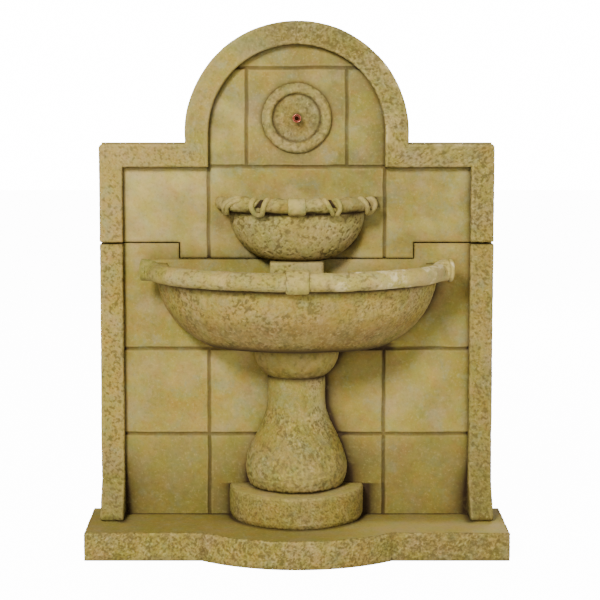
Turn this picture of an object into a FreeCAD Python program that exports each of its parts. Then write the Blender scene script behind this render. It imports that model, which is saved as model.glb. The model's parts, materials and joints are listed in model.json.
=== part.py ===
import FreeCAD, Part

# Garden wall fountain in cast stone: an arched two-piece back wall on a bow-fronted base, a spout rosette, a small
# upper bowl on a riser, a wide basin on a half-round pedestal, and the small pump, hose and fixings that it holds.
# Frame: +X to the right, the front faces -Y, +Z up. The origin is the middle of the back edge at floor level, so
# the plane Y = 0 is the back that stands against the garden wall. Everything is in millimetres.

import math
import os
import re

import Sketcher

V = FreeCAD.Vector
DOC = FreeCAD.newDocument("GardenWallFountain")
SHEET = DOC.addObject("Spreadsheet::Sheet", "Sizes")

# Driving dimensions: name, value, meaning.
SIZES = [
    ("base_half", 625, "half the width of the base slab"),
    ("base_height", 83, "height of the base slab"),
    ("base_front", 292, "straight front of the base, from the back plane"),
    ("bow_half", 278, "half the width of the bow in the base's front"),
    ("bow_rise", 97, "how far the bow stands in front of the straight front"),
    ("base_round", 9, "rounded edge of the base"),
    ("wall_half", 590, "half the width of the back wall"),
    ("panel_thick", 64, "back plane to the tiled face"),
    ("frame_width", 70, "width of the raised frame band"),
    ("frame_proud", 31, "how far the frame stands proud of the tiles"),
    ("frame_round", 7, "rounded front edge of the frame"),
    ("foot_top", 194, "height where a pilaster's foot starts to flare"),
    ("foot_toe", 97, "height of the toe where the flare ends"),
    ("foot_reach", 164, "back plane to the toe of a pilaster's foot"),
    ("key_half", 352, "half the width of the upper panel's key"),
    ("key_drop", 48, "how far the key hangs below the seam, down to the level of the bowl's underside"),
    ("key_gap", 1.5, "clearance around the key"),
    ("shoulder_rise", 298, "seam to the top of the wall's shoulders"),
    ("arch_leg", 31, "top of the shoulders to the arch's centre"),
    ("arch_outer", 334, "outer radius of the arch"),
    ("joint_width", 7, "width of the grooves between the tiles"),
    ("joint_depth", 4, "depth of the grooves between the tiles"),
    ("tile_height", 262, "lowest level tile joint to the next"),
    ("joint_under", 20, "basin's underside to the level tile joint below it"),
    ("joint_crown", 194, "arch's centre to the tile joint above the rosette"),
    ("tile_half", 264, "upright tile joints beside the centre"),
    ("square_half", 150, "half the width of the square tile behind the rosette"),
    ("rosette_rise", 45, "arch's centre to the spout"),
    ("rosette_outer", 105, "outer radius of the rosette"),
    ("rosette_inner", 77, "inner radius of the rosette's ring"),
    ("rosette_ring", 20, "thickness of the rosette at its ring"),
    ("rosette_dish", 7, "thickness of the rosette at the bottom of its dish"),
    ("rosette_boss", 15, "thickness of the rosette at its middle"),
    ("rosette_sink", 5, "depth of the seat that the rosette is bedded in"),
    ("rosette_lip", 11, "thickness of the rosette at its outer edge"),
    ("rosette_step", 12, "thickness of the rosette at the inner foot of its ring"),
    ("rosette_cove", 6, "width of the cove inside the rosette's ring"),
    ("rosette_flat", 48, "radius where the rosette's dish is deepest"),
    ("rosette_swell", 26, "radius where the rosette's middle has nearly its full thickness"),
    ("rosette_swell_thick", 14, "thickness of the rosette there"),
    ("drum_radius", 202, "radius of the pedestal's drum"),
    ("drum_height", 95, "height of the pedestal's drum"),
    ("drum_round", 11, "worn edge of the drum"),
    ("shaft_bottom", 140, "radius of the shaft where it stands on the drum"),
    ("shaft_belly", 154, "widest radius of the shaft"),
    ("shaft_neck", 87, "narrowest radius of the shaft"),
    ("belly_height", 56, "height of the shaft's widest part above the drum"),
    ("neck_share", 0.21, "share of the shaft's height that is its straight neck"),
    ("shaft_height", 334, "height of the pedestal's shaft"),
    ("capital_height", 100, "height of the pedestal's capital"),
    ("capital_neck", 84, "lower radius of the capital"),
    ("capital_radius", 128, "upper radius of the capital"),
    ("basin_floor", 36, "thickness of the basin's floor"),
    ("basin_wall", 32, "thickness of the basin's wall"),
    ("basin_back", 28, "thickness of the basin's back wall"),
    ("hose_over", 18, "top of the basin's back wall to the height where the hose turns"),
    ("basin_half", 422, "half the width of the basin's body at its top"),
    ("basin_foot", 232, "half the width of the basin's flat underside"),
    ("basin_squash", 0.785, "depth of the basin's body as a share of its half width"),
    ("basin_knee", 382, "half the width of the basin at its bulge"),
    ("basin_knee_rise", 91, "height of the basin's bulge above its underside"),
    ("basin_toe", 280, "half the width of the basin where its side meets its underside"),
    ("basin_toe_rise", 3, "height of that place above the underside"),
    ("basin_ear", 351, "centre line to the inner side of the ears beside the basin's back wall"),
    ("basin_rise", 225, "basin's underside to the centre of its rolled rim"),
    ("basin_roll", 27, "radius of the basin's rolled rim"),
    ("basin_reach", 350, "tiled face to the middle of the roll at the front"),
    ("basin_turn", 417, "half the width of the rim where it turns outwards"),
    ("basin_turn_out", 119.5, "tiled face to the rim where it turns outwards"),
    ("basin_curl", 34, "radius of the rim's outward turn"),
    ("basin_curl_angle", 58, "angle of the rim's outward turn"),
    ("basin_tail", 5, "straight end of the rim under its flange"),
    ("flange_round", 5, "rounded edge of the flanges"),
    ("flange_radius", 35.5, "radius of the flanges that end the roll"),
    ("flange_thick", 12, "thickness of the flanges that end the roll"),
    ("flange_lift", 6, "how far a flange's centre lies above the roll's"),
    ("clasp_half", 34, "half the width of the clasp on the basin's roll"),
    ("clasp_proud", 7, "how far the clasp stands out from the basin's roll"),
    ("bowl_floor", 30, "thickness of the bowl's floor"),
    ("bowl_wall", 24, "thickness of the bowl's wall"),
    ("bowl_back_rise", 168, "bowl's underside to the top of its back wall"),
    ("bowl_half", 203, "half the width of the bowl's body at its top"),
    ("bowl_foot", 96, "half the width of the bowl's flat underside"),
    ("bowl_squash", 0.66, "depth of the bowl's body as a share of its half width"),
    ("bowl_foot_squash", 0.92, "depth of the bowl's underside as a share of its half width"),
    ("bowl_knee", 178, "half the width of the bowl at its bulge"),
    ("bowl_knee_rise", 61, "height of the bowl's bulge above its underside"),
    ("bowl_rise", 167.5, "bowl's underside to the centre of its rolled rim"),
    ("bowl_roll", 20, "radius of the bowl's rolled rim"),
    ("bowl_reach", 146, "tiled face to the middle of the roll at the front"),
    ("bowl_spread", 224, "half the width of the roll's centre line at the tiled face"),
    ("clasp_round", 3, "rounded edges of the clasps"),
    ("bowl_clasp_half", 27, "half the width of the clasp on the bowl's roll"),
    ("bowl_clasp_proud", 6, "how far the clasp stands out from the bowl's roll"),
    ("bowl_lift", 254, "basin's underside to the bowl's underside"),
    ("riser_half", 80, "half the width of the riser under the bowl"),
    ("riser_front", 100, "tiled face to the riser's front"),
    ("riser_wall", 20, "thickness of the riser's walls"),
    ("riser_round", 9, "rounded upright edges of the riser"),
    ("riser_top_round", 6, "rounded top edge of the riser"),
    ("riser_gap", 2, "gap between the riser and the basin's back wall"),
    ("notch_width", 34, "width of the water notches at the riser's foot"),
    ("notch_height", 30, "height of the water notches at the riser's foot"),
    ("spout_radius", 8, "outer radius of the copper spout"),
    ("spout_bore", 6.5, "inner radius of the copper spout"),
    ("spout_reach", 36, "tiled face to the spout's mouth"),
    ("spout_gap", 0.5, "clearance around the spout in the wall and the rosette"),
    ("hose_bore", 6.5, "inner radius of the supply hose"),
    ("hose_radius", 9, "outer radius of the supply hose"),
    ("hose_back", 17, "back plane to the hose's centre line in its channel"),
    ("hose_drop", 48, "bowl's underside to the height where the hose turns between its two bends"),
    ("hose_push", 18, "length of hose that is pushed over a spigot"),
    ("spigot_play", 0.05, "clearance between a spigot and the hose"),
    ("channel_depth", 34, "depth of the hose channel in the wall's back"),
    ("channel_half", 18, "half the width of the hose channel"),
    ("wall_hole", 20, "radius of the hole that the hose passes through"),
    ("wall_hole_lift", 9, "how far that hole's centre lies above the hose's bend"),
    ("clip_thick", 2, "thickness of a hose clip"),
    ("clip_width", 12, "width of a hose clip"),
    ("clip_count", 3, "number of hose clips in the channel"),
    ("clip_low", 30, "seam to the lowest hose clip"),
    ("clip_high", 60, "highest hose clip to the spout"),
    ("clip_play", 1, "clearance beside a hose clip in the channel"),
    ("clip_screw_gap", 3, "hose clip's strap to the middle of its screws"),
    ("clip_screw_radius", 1.5, "radius of the clip's screws"),
    ("clip_screw_length", 14, "length of the clip's screws in the wall"),
    ("clip_head", 1.2, "thickness of the clip screws' heads"),
    ("clip_head_radius", 2.2, "radius of the clip screws' heads"),
    ("clamp_width", 9, "width of a hose clamp's band"),
    ("clamp_thick", 0.9, "thickness of a hose clamp's band"),
    ("clamp_back", 13, "hose's end on its spigot to the far edge of the clamp"),
    ("clamp_screw", 8, "width of a hose clamp's screw housing"),
    ("elbow_seat", 5, "hose's centre line to the inner end of the spout tube in its elbow"),
    ("elbow_leg", 21, "spout's centre line to the shoulder above the elbow's spigot"),
    ("elbow_wall", 2, "wall of the elbow"),
    ("elbow_lip", 1, "step in the elbow's bore that stops the spout tube"),
    ("elbow_gap", 0.5, "gap between the elbow and the lock nut"),
    ("spigot_wall", 2, "wall of the spigots that the hose is pushed over"),
    ("nut_across", 24, "width across the flats of the spout's lock nut"),
    ("nut_thick", 6, "thickness of the spout's lock nut"),
    ("pump_back", 32, "tiled face to the back of the pump"),
    ("pump_depth", 42, "depth of the pump"),
    ("pump_height", 44, "height of the pump's housing"),
    ("pump_motor", 40, "length of the pump's motor housing"),
    ("pump_volute", 16, "length of the pump's volute"),
    ("pump_filter", 15, "length of the pump's filter cover"),
    ("pump_wall", 2.5, "wall of the volute and the filter cover"),
    ("pump_round", 5, "rounded edges of the pump"),
    ("volute_gap", 2, "gap around the impeller"),
    ("intake_count", 6, "number of intake holes in the volute"),
    ("intake_radius", 2.6, "radius of the intake holes"),
    ("intake_circle", 8, "radius of the circle that the intake holes lie on"),
    ("slot_count", 5, "number of slots in the filter cover"),
    ("slot_pitch", 6.5, "distance from slot to slot"),
    ("slot_width", 2.4, "width of a slot in the filter cover"),
    ("slot_edge", 3, "edge of the filter cover to its slots"),
    ("foot_height", 6, "height of the pump's suction feet"),
    ("foot_wide", 6, "lower radius of the suction feet"),
    ("foot_narrow", 3.5, "upper radius of the suction feet"),
    ("foot_inset", 7.5, "edge of the motor housing to the middle of the suction feet"),
    ("gland_inset", 8, "end of the motor housing to the middle of the cord gland"),
    ("gland_flange", 6, "radius of the cord gland's flange"),
    ("gland_flange_thick", 3, "thickness of the cord gland's flange"),
    ("gland_wide", 4.5, "lower radius of the cord gland's sleeve"),
    ("gland_narrow", 3.2, "upper radius of the cord gland's sleeve"),
    ("gland_bore", 2.2, "radius of the cord gland's bore"),
    ("gland_length", 16, "length of the cord gland"),
    ("rotor_radius", 8, "radius of the pump's magnet"),
    ("rotor_length", 26, "length of the pump's magnet"),
    ("rotor_gap", 0.6, "running gap around the magnet"),
    ("rotor_float", 2, "free space at each end of the rotor's magnet"),
    ("rotor_hub", 4.8, "radius of the hub between the magnet and the impeller"),
    ("impeller_set", 1.5, "face of the motor to the impeller, and the thickness of its disc"),
    ("vane_thick", 1.4, "thickness of the impeller's vanes"),
    ("bush_length", 4, "length of the rear bush"),
    ("shaft_radius", 1.5, "radius of the rotor's ceramic shaft"),
    ("shaft_play", 0.05, "running clearance between the rotor and its shaft"),
    ("impeller_radius", 13, "radius of the impeller"),
    ("impeller_width", 8, "width of the impeller"),
    ("vane_count", 6, "number of vanes on the impeller"),
    ("bush_radius", 3.5, "radius of the rubber bushes that hold the shaft"),
    ("dial_radius", 9, "radius of the flow dial"),
    ("dial_thick", 3.5, "thickness of the flow dial"),
    ("dial_gap", 0.3, "gap between the flow dial and the filter cover"),
    ("dial_hole", 2.6, "radius of the dial's hole in the filter cover"),
    ("dial_collar", 4, "radius of the collar that holds the dial in"),
    ("dial_collar_thick", 2.7, "thickness of that collar"),
    ("dial_grip", 3, "width of the dial's grip bar"),
    ("dial_grip_proud", 2, "how far the grip bar stands out from the dial"),
    ("drain_side", 168, "centre line to the drain"),
    ("drain_out", 92, "tiled face to the drain"),
    ("drain_radius", 15, "bore of the drain sleeve at its top"),
    ("drain_taper", 2, "how much narrower the drain's bore is at its foot"),
    ("drain_wall", 2.5, "wall of the drain sleeve"),
    ("stopper_play", 0.3, "clearance around the drain stopper"),
    ("stopper_short", 2, "underside of the basin to the foot of the stopper"),
    ("stopper_head", 5, "thickness of the stopper's head"),
    ("stopper_lip", 2, "how far the stopper's head reaches past the sleeve"),
    ("knob_radius", 5, "radius of the stopper's knob"),
    ("knob_height", 14, "height of the stopper's knob above the floor"),
    ("dowel_side", 555, "centre line to the dowels"),
    ("dowel_back", 48, "back plane to the dowels"),
    ("dowel_radius", 8, "radius of the dowels"),
    ("dowel_length", 80, "length of the dowels"),
    ("dowel_play", 0.5, "clearance around the dowels"),
    ("bolt_radius", 5, "radius of the fixing bolts"),
    ("bolt_play", 0.5, "clearance around the fixing bolts"),
    ("bolt_across", 16, "width across the flats of the bolts and nuts"),
    ("bolt_head", 6.5, "thickness of the bolt heads"),
    ("bolt_nut", 8, "thickness of the bolt nuts"),
    ("bolt_past", 2, "how far a bolt's end stands past its nut"),
    ("washer_radius", 13, "radius of the sealing washers"),
    ("washer_thick", 3, "thickness of the sealing washers"),
    ("plate_washer", 15, "radius of the steel washers behind the wall"),
    ("plate_washer_thick", 2, "thickness of the steel washers behind the wall"),
    ("counterbore", 18, "radius of the counterbores in the wall's back"),
    ("counterbore_depth", 26, "depth of the counterbores in the wall's back"),
    ("bowl_bolt_side", 110, "centre line to the bowl's bolts"),
    ("bowl_bolt_rise", 94, "bowl's underside to its bolts"),
    ("basin_bolt_side", 290, "centre line to the basin's bolts"),
    ("basin_bolt_rise", 133, "basin's underside to its bolts"),
    ("tie_side", 450, "centre line to the tie plates at the seam"),
    ("tie_width", 40, "width of the tie plates"),
    ("tie_length", 150, "length of the tie plates"),
    ("tie_thick", 5, "thickness of the tie plates"),
    ("seat_play", 1, "clearance around the plates in their seats"),
    ("tie_recess", 10, "depth of the recesses that the tie plates lie in"),
    ("hanger_side", 440, "centre line to the hanger plates"),
    ("hanger_drop", 122, "top of the shoulders to the middle of the hanger plates"),
    ("hanger_width", 60, "width of the hanger plates"),
    ("hanger_length", 100, "length of the hanger plates"),
    ("hanger_thick", 4, "thickness of the hanger plates"),
    ("hanger_recess", 7, "depth of the seat that the hanger plates lie in"),
    ("hanger_pocket", 22, "depth of the pocket for a wall screw's head"),
    ("pocket_play", 2, "clearance around the keyhole in the pocket behind it"),
    ("keyhole_radius", 9, "radius of the keyhole's entry"),
    ("keyhole_slot", 4.5, "half the width of the keyhole's slot"),
    ("keyhole_rise", 24, "how far the keyhole's slot rises"),
    ("screw_radius", 3, "radius of the screws"),
    ("screw_length", 30, "length of the screws in the wall"),
    ("screw_play", 0.1, "clearance around the screws"),
    ("screw_head", 6, "radius of the screw heads"),
    ("screw_head_thick", 1.8, "thickness of the screw heads"),
    ("fixing_margin", 12, "edge of a plate to the centre of its screws"),
]

# Levels that follow from the sizes, each reckoned from what carries it.
LEVELS = {
    "capital_low": "base_height + drum_height + shaft_height",
    "basin_low": "capital_low + capital_height",
    "basin_rim": "basin_low + basin_rise",
    "joint_mid": "basin_low - joint_under",
    "joint_low": "joint_mid - tile_height",
    "bowl_low": "basin_low + bowl_lift",
    "bowl_rim": "bowl_low + bowl_rise",
    "bowl_back_top": "bowl_low + bowl_back_rise",
    "hose_height": "bowl_low - hose_drop",
    "basin_back_top": "hose_height - hose_over",
    "seam_height": "bowl_low + key_drop",
    "shoulder": "seam_height + shoulder_rise",
    "arch_centre": "shoulder + arch_leg",
    "joint_high": "arch_centre + joint_crown",
    "rosette_height": "arch_centre + rosette_rise",
    "basin_bolt_height": "basin_low + basin_bolt_rise",
    "bowl_bolt_height": "bowl_low + bowl_bolt_rise",
    "hanger_height": "shoulder - hanger_drop",
}

for row, (alias, number, meaning) in enumerate(SIZES, start=1):
    SHEET.set("A%d" % row, meaning)
    SHEET.set("B%d" % row, str(number))
    SHEET.setAlias("B%d" % row, alias)
DOC.recompute()
SIZE_NAMES = {alias for alias, _, _ in SIZES}
NODES = []


def bound(text):
    """The expression text with each level written out and each size turned into a reference to its cell."""

    def written(word):
        if word[0] in LEVELS:
            return "( %s )" % bound(LEVELS[word[0]])
        return "Sizes." + word[0] if word[0] in SIZE_NAMES else word[0]

    return re.sub("[a-z_]+", written, text)


def worth(text):
    """The value that an expression of size names has now."""
    return float(SHEET.evalExpression(bound(text)))


NUMBER = {name: worth(name) for name in [*SIZE_NAMES, *LEVELS]}


def bind(thing, **places):
    """Bind properties to expressions; Placement.Base.x is written as x, and so on."""
    names = {"x": "Placement.Base.x", "y": "Placement.Base.y", "z": "Placement.Base.z"}
    for key, text in places.items():
        thing.setExpression(names.get(key, key), bound(text))
    return thing


def node(name, thing):
    """Take an object as a finished sub-part: its label names its file."""
    thing.Label = name
    NODES.append(thing)
    return thing


def box(x, y, z, length, width, height, name="Block"):
    """A block from its lowest corner."""
    thing = DOC.addObject("Part::Box", name)
    return bind(thing, x=x, y=y, z=z, Length=length, Width=width, Height=height)


TURNS = {
    "x": FreeCAD.Rotation(V(0, 1, 0), 90),
    "-y": FreeCAD.Rotation(V(1, 0, 0), 90),
    "z": FreeCAD.Rotation(),
}


def rod(axis, x, y, z, radius, height, name="Rod"):
    """A round bar from a point, along +X, -Y or +Z."""
    thing = DOC.addObject("Part::Cylinder", name)
    thing.Placement = FreeCAD.Placement(V(), TURNS[axis])
    return bind(thing, x=x, y=y, z=z, Radius=radius, Height=height)


def hexagon(axis, x, y, z, across, height, name="Hexagon"):
    """A six-sided bar from a point, given the width across its flats."""
    thing = DOC.addObject("Part::Prism", name)
    thing.Polygon = 6
    thing.Placement = FreeCAD.Placement(V(), TURNS[axis])
    return bind(thing, x=x, y=y, z=z, Circumradius="( %s ) / 2 / cos(30 deg)" % across, Height=height)


def joined(things, name="Union"):
    """Several objects fused in one."""
    if len(things) == 1:
        return things[0]
    thing = DOC.addObject("Part::MultiFuse", name)
    thing.Shapes = things
    thing.Refine = True
    return thing


def cut(base, tools, name="Cut"):
    """An object with the tools taken out of it."""
    thing = DOC.addObject("Part::Cut", name)
    thing.Base = base
    thing.Tool = joined(tools)
    thing.Refine = True
    return thing


def group(things, name="Group"):
    """Separate solids that share one node."""
    thing = DOC.addObject("Part::Compound", name)
    thing.Links = things
    return thing


def role(body, wanted):
    """One of a body's own origin planes or axes."""
    return [f for f in body.Origin.OriginFeatures if f.Role == wanted][0]


def sketch(body, plane, corners, bows=None, offset=None, name="Outline"):
    """A closed outline through corners given as expressions. bows maps the number of a side to a point that its arc
    passes through; offset is the expression of the outline's distance from its plane."""
    bows = bows or {}
    drawn = body.newObject("Sketcher::SketchObject", name)
    drawn.AttachmentSupport = [(role(body, plane), "")]
    drawn.MapMode = "FlatFace"
    if offset:
        drawn.setExpression("AttachmentOffset.Base.z", bound(offset))
    spots = [V(worth(a), worth(b), 0) for a, b in corners]
    count = len(spots)
    ends = []
    for side in range(count):
        start, stop = spots[side], spots[(side + 1) % count]
        if side in bows:
            middle = V(*[worth(t) for t in bows[side]], 0)
            leftward = (middle - start).cross(stop - middle).z > 0
            first, last = (start, stop) if leftward else (stop, start)
            drawn.addGeometry(Part.ArcOfCircle(first, middle, last), False)
            ends.append((1, 2) if leftward else (2, 1))
        else:
            drawn.addGeometry(Part.LineSegment(start, stop), False)
            ends.append((1, 2))
    for side in range(count):
        after = (side + 1) % count
        drawn.addConstraint(Sketcher.Constraint("Coincident", side, ends[side][1], after, ends[after][0]))
    for side, (across, up) in enumerate(corners):
        pin(drawn, side, ends[side][0], across, up)
    for side, (across, up) in sorted(bows.items()):
        number = drawn.addGeometry(Part.Point(V(worth(across), worth(up), 0)), True)
        pin(drawn, number, 1, across, up)
        drawn.addConstraint(Sketcher.Constraint("PointOnObject", number, 1, side))
    return drawn


def pin(drawn, item, end, across, up):
    """Hold a point of a sketch at a place given by two expressions."""
    for kind, text in (("DistanceX", across), ("DistanceY", up)):
        number = drawn.addConstraint(Sketcher.Constraint(kind, -1, 1, item, end, worth(text)))
        drawn.setExpression("Constraints[%d]" % number, bound(text))


def body(name):
    return DOC.addObject("PartDesign::Body", name)


def pad(owner, outline, length, name="Pad"):
    """A sketch thickened along its plane's normal."""
    thing = owner.newObject("PartDesign::Pad", name)
    thing.Profile = outline
    thing.setExpression("Length", bound(length))
    return thing


def revolved(name, corners, bows, back="panel_thick"):
    """Half a turned piece against the tiled face: a profile of radius and height turned from the right to the left,
    round the front."""
    owner = body(name.title().replace("_", ""))
    outline = sketch(owner, "XZ_Plane", corners, bows)
    turned = owner.newObject("PartDesign::Revolution", "Turned")
    turned.Profile = outline
    turned.ReferenceAxis = (outline, ["V_Axis"])
    turned.Angle = 180
    turned.Reversed = True
    bind(owner, y="- %s" % back)
    DOC.recompute()
    if owner.Shape.BoundBox.YMax > -worth(back) + 1:
        turned.Reversed = False
        DOC.recompute()
    return owner


def feature(name, shape):
    """A sub-part whose shape is worked out here from the sizes."""
    thing = DOC.addObject("Part::Feature", name)
    thing.Shape = shape
    return thing


def rounded(owner, radius, chosen, name="Rounding"):
    """A fillet on the edges of a body's tip that the function chosen picks."""
    DOC.recompute()
    tip = owner.Tip
    picked = ["Edge%d" % (i + 1) for i, e in enumerate(tip.Shape.Edges) if chosen(e)]
    thing = owner.newObject("PartDesign::Fillet", name)
    thing.Base = (tip, picked)
    thing.setExpression("Radius", bound(radius))
    return thing


def near(a, b, slack=0.01):
    return abs(a - b) < slack


# The base slab.


def make_base_slab():
    owner = body("BaseSlab")
    outline = sketch(
        owner,
        "XY_Plane",
        [
            ("- base_half", "0"),
            ("- base_half", "- base_front"),
            ("- bow_half", "- base_front"),
            ("bow_half", "- base_front"),
            ("base_half", "- base_front"),
            ("base_half", "0"),
        ],
        {2: ("0", "- base_front - bow_rise")},
    )
    pad(owner, outline, "base_height")
    half, front, top = NUMBER["base_half"], NUMBER["base_front"], NUMBER["base_height"]

    def upright_corner(edge):
        box_ = edge.BoundBox
        return box_.ZLength > top / 2 and near(abs(box_.XMin), half) and near(box_.YMin, -front)

    rounded(owner, "base_round * 1.5", upright_corner, "CornerRounding")

    def top_edge(edge):
        box_ = edge.BoundBox
        return near(box_.ZMin, top) and near(box_.ZMax, top) and box_.YMin < -1

    rounded(owner, "base_round", top_edge, "TopRounding")
    holes = [
        rod("z", sign + " dowel_side", "- dowel_back", "base_height - dowel_length / 2",
            "dowel_radius + dowel_play", "dowel_length", "DowelHole")
        for sign in ("-", "")
    ]
    node("base_slab", cut(owner, holes, "BaseSlabDrilled"))


# The back wall: two panels with a raised frame and tile joints.


def upright_joint(side, low, high):
    return box("%s - joint_width / 2" % side, "- panel_thick - joint_depth", low,
               "joint_width", "joint_depth * 2", "%s - ( %s )" % (high, low), "UprightJoint")


def level_joint(height, half):
    return box("- %s" % half, "- panel_thick - joint_depth", "%s - joint_width / 2" % height,
               "2 * ( %s )" % half, "joint_depth * 2", "joint_width", "LevelJoint")


INNER_HALF = "( wall_half - frame_width )"
INNER_ARCH = "( arch_outer - frame_width )"


def frame_edges(owner, keep):
    """Round the front edges of the raised frame."""
    front = -(NUMBER["panel_thick"] + NUMBER["frame_proud"])

    def chosen(edge):
        box_ = edge.BoundBox
        return near(box_.YMin, front) and near(box_.YMax, front) and keep(box_)

    rounded(owner, "frame_round", chosen, "FrameRounding")


def bolt_holes(side, height):
    """A pair of clearance holes through the wall, each with a counterbore in the back."""
    tools = []
    for sign in ("-", ""):
        x = "%s %s" % (sign, side)
        tools.append(rod("-y", x, "0", height, "bolt_radius + bolt_play", "panel_thick", "BoltHole"))
        tools.append(rod("-y", x, "0", height, "counterbore", "counterbore_depth", "Counterbore"))
    return tools


def screw_spots(side, middle, width, length):
    """The four screw places of each of a pair of plates, as expressions."""
    spots = []
    for sign in ("-", ""):
        for across in ("-", "+"):
            for up in ("-", "+"):
                x = "%s %s %s ( %s / 2 - fixing_margin )" % (sign, side, across, width)
                z = "%s %s ( %s / 2 - fixing_margin )" % (middle, up, length)
                spots.append((x, z))
    return spots


TIE_SPOTS = screw_spots("tie_side", "seam_height", "tie_width", "tie_length")
HANGER_SPOTS = screw_spots("hanger_side", "hanger_height", "hanger_width", "hanger_length")


def tie_recesses():
    tools = [
        box("%s tie_side - tie_width / 2 - seat_play" % sign, "- tie_recess",
            "seam_height - tie_length / 2 - seat_play",
            "tie_width + 2 * seat_play", "tie_recess", "tie_length + 2 * seat_play", "TieRecess")
        for sign in ("-", "")
    ]
    return tools + [
        rod("-y", x, "- tie_recess", z, "screw_radius + screw_play", "screw_length", "TieHole")
        for x, z in TIE_SPOTS
    ]


def seam_dowel_holes():
    return [
        rod("z", sign + " dowel_side", "- dowel_back", "seam_height - dowel_length / 2",
            "dowel_radius + dowel_play", "dowel_length + dowel_play", "DowelHole")
        for sign in ("-", "")
    ]


def channel(low, high):
    return box("- channel_half", "- channel_depth", low, "2 * channel_half", "channel_depth",
               "%s - ( %s )" % (high, low), "HoseChannel")


HOLE_HEIGHT = "( hose_height + wall_hole_lift )"


def clip_heights():
    """The heights of the hose clips, spread evenly up the channel."""
    count = int(NUMBER["clip_count"])
    low, high = "( seam_height + clip_low )", "( rosette_height - clip_high )"
    return [
        "%s + ( %s - %s ) * %d / %d" % (low, high, low, number, max(count - 1, 1)) for number in range(count)
    ]


CLIP_SCREW = "( hose_radius + clip_thick + clip_screw_gap )"


def make_lower_wall():
    owner = body("LowerWallPanel")
    outline = sketch(
        owner,
        "XZ_Plane",
        [
            ("- wall_half", "base_height"),
            ("wall_half", "base_height"),
            ("wall_half", "seam_height"),
            ("key_half + key_gap", "seam_height"),
            ("key_half + key_gap", "seam_height - key_drop - key_gap"),
            ("- key_half - key_gap", "seam_height - key_drop - key_gap"),
            ("- key_half - key_gap", "seam_height"),
            ("- wall_half", "seam_height"),
        ],
    )
    pad(owner, outline, "panel_thick")
    profile = [
        ("0", "base_height"),
        ("- foot_reach", "base_height"),
        ("- foot_reach", "foot_toe"),
        ("- panel_thick - frame_proud", "foot_top"),
        ("- panel_thick - frame_proud", "seam_height"),
        ("0", "seam_height"),
    ]
    for start, name in (("- wall_half", "LeftPilaster"), ("wall_half - frame_width", "RightPilaster")):
        side = sketch(owner, "YZ_Plane", profile, offset=start, name=name + "Outline")
        pad(owner, side, "frame_width", name)
    frame_edges(owner, lambda b: b.ZLength > NUMBER["frame_width"])
    field = "wall_half - frame_width"
    tools = [level_joint(height, field) for height in ("joint_mid", "joint_low")]
    tools += [upright_joint(side, "base_height", "joint_mid") for side in ("- tile_half", "0", "tile_half")]
    tools += [
        rod("z", sign + " dowel_side", "- dowel_back", "base_height - dowel_play", "dowel_radius + dowel_play",
            "dowel_length / 2 + 2 * dowel_play", "DowelHole")
        for sign in ("-", "")
    ]
    tools += seam_dowel_holes() + tie_recesses() + bolt_holes("basin_bolt_side", "basin_bolt_height")
    tools.append(rod("-y", "0", "0", HOLE_HEIGHT, "wall_hole", "panel_thick", "HoseHole"))
    tools.append(channel(HOLE_HEIGHT, "seam_height"))
    node("lower_wall_panel", cut(owner, tools, "LowerWallCut"))


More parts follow.
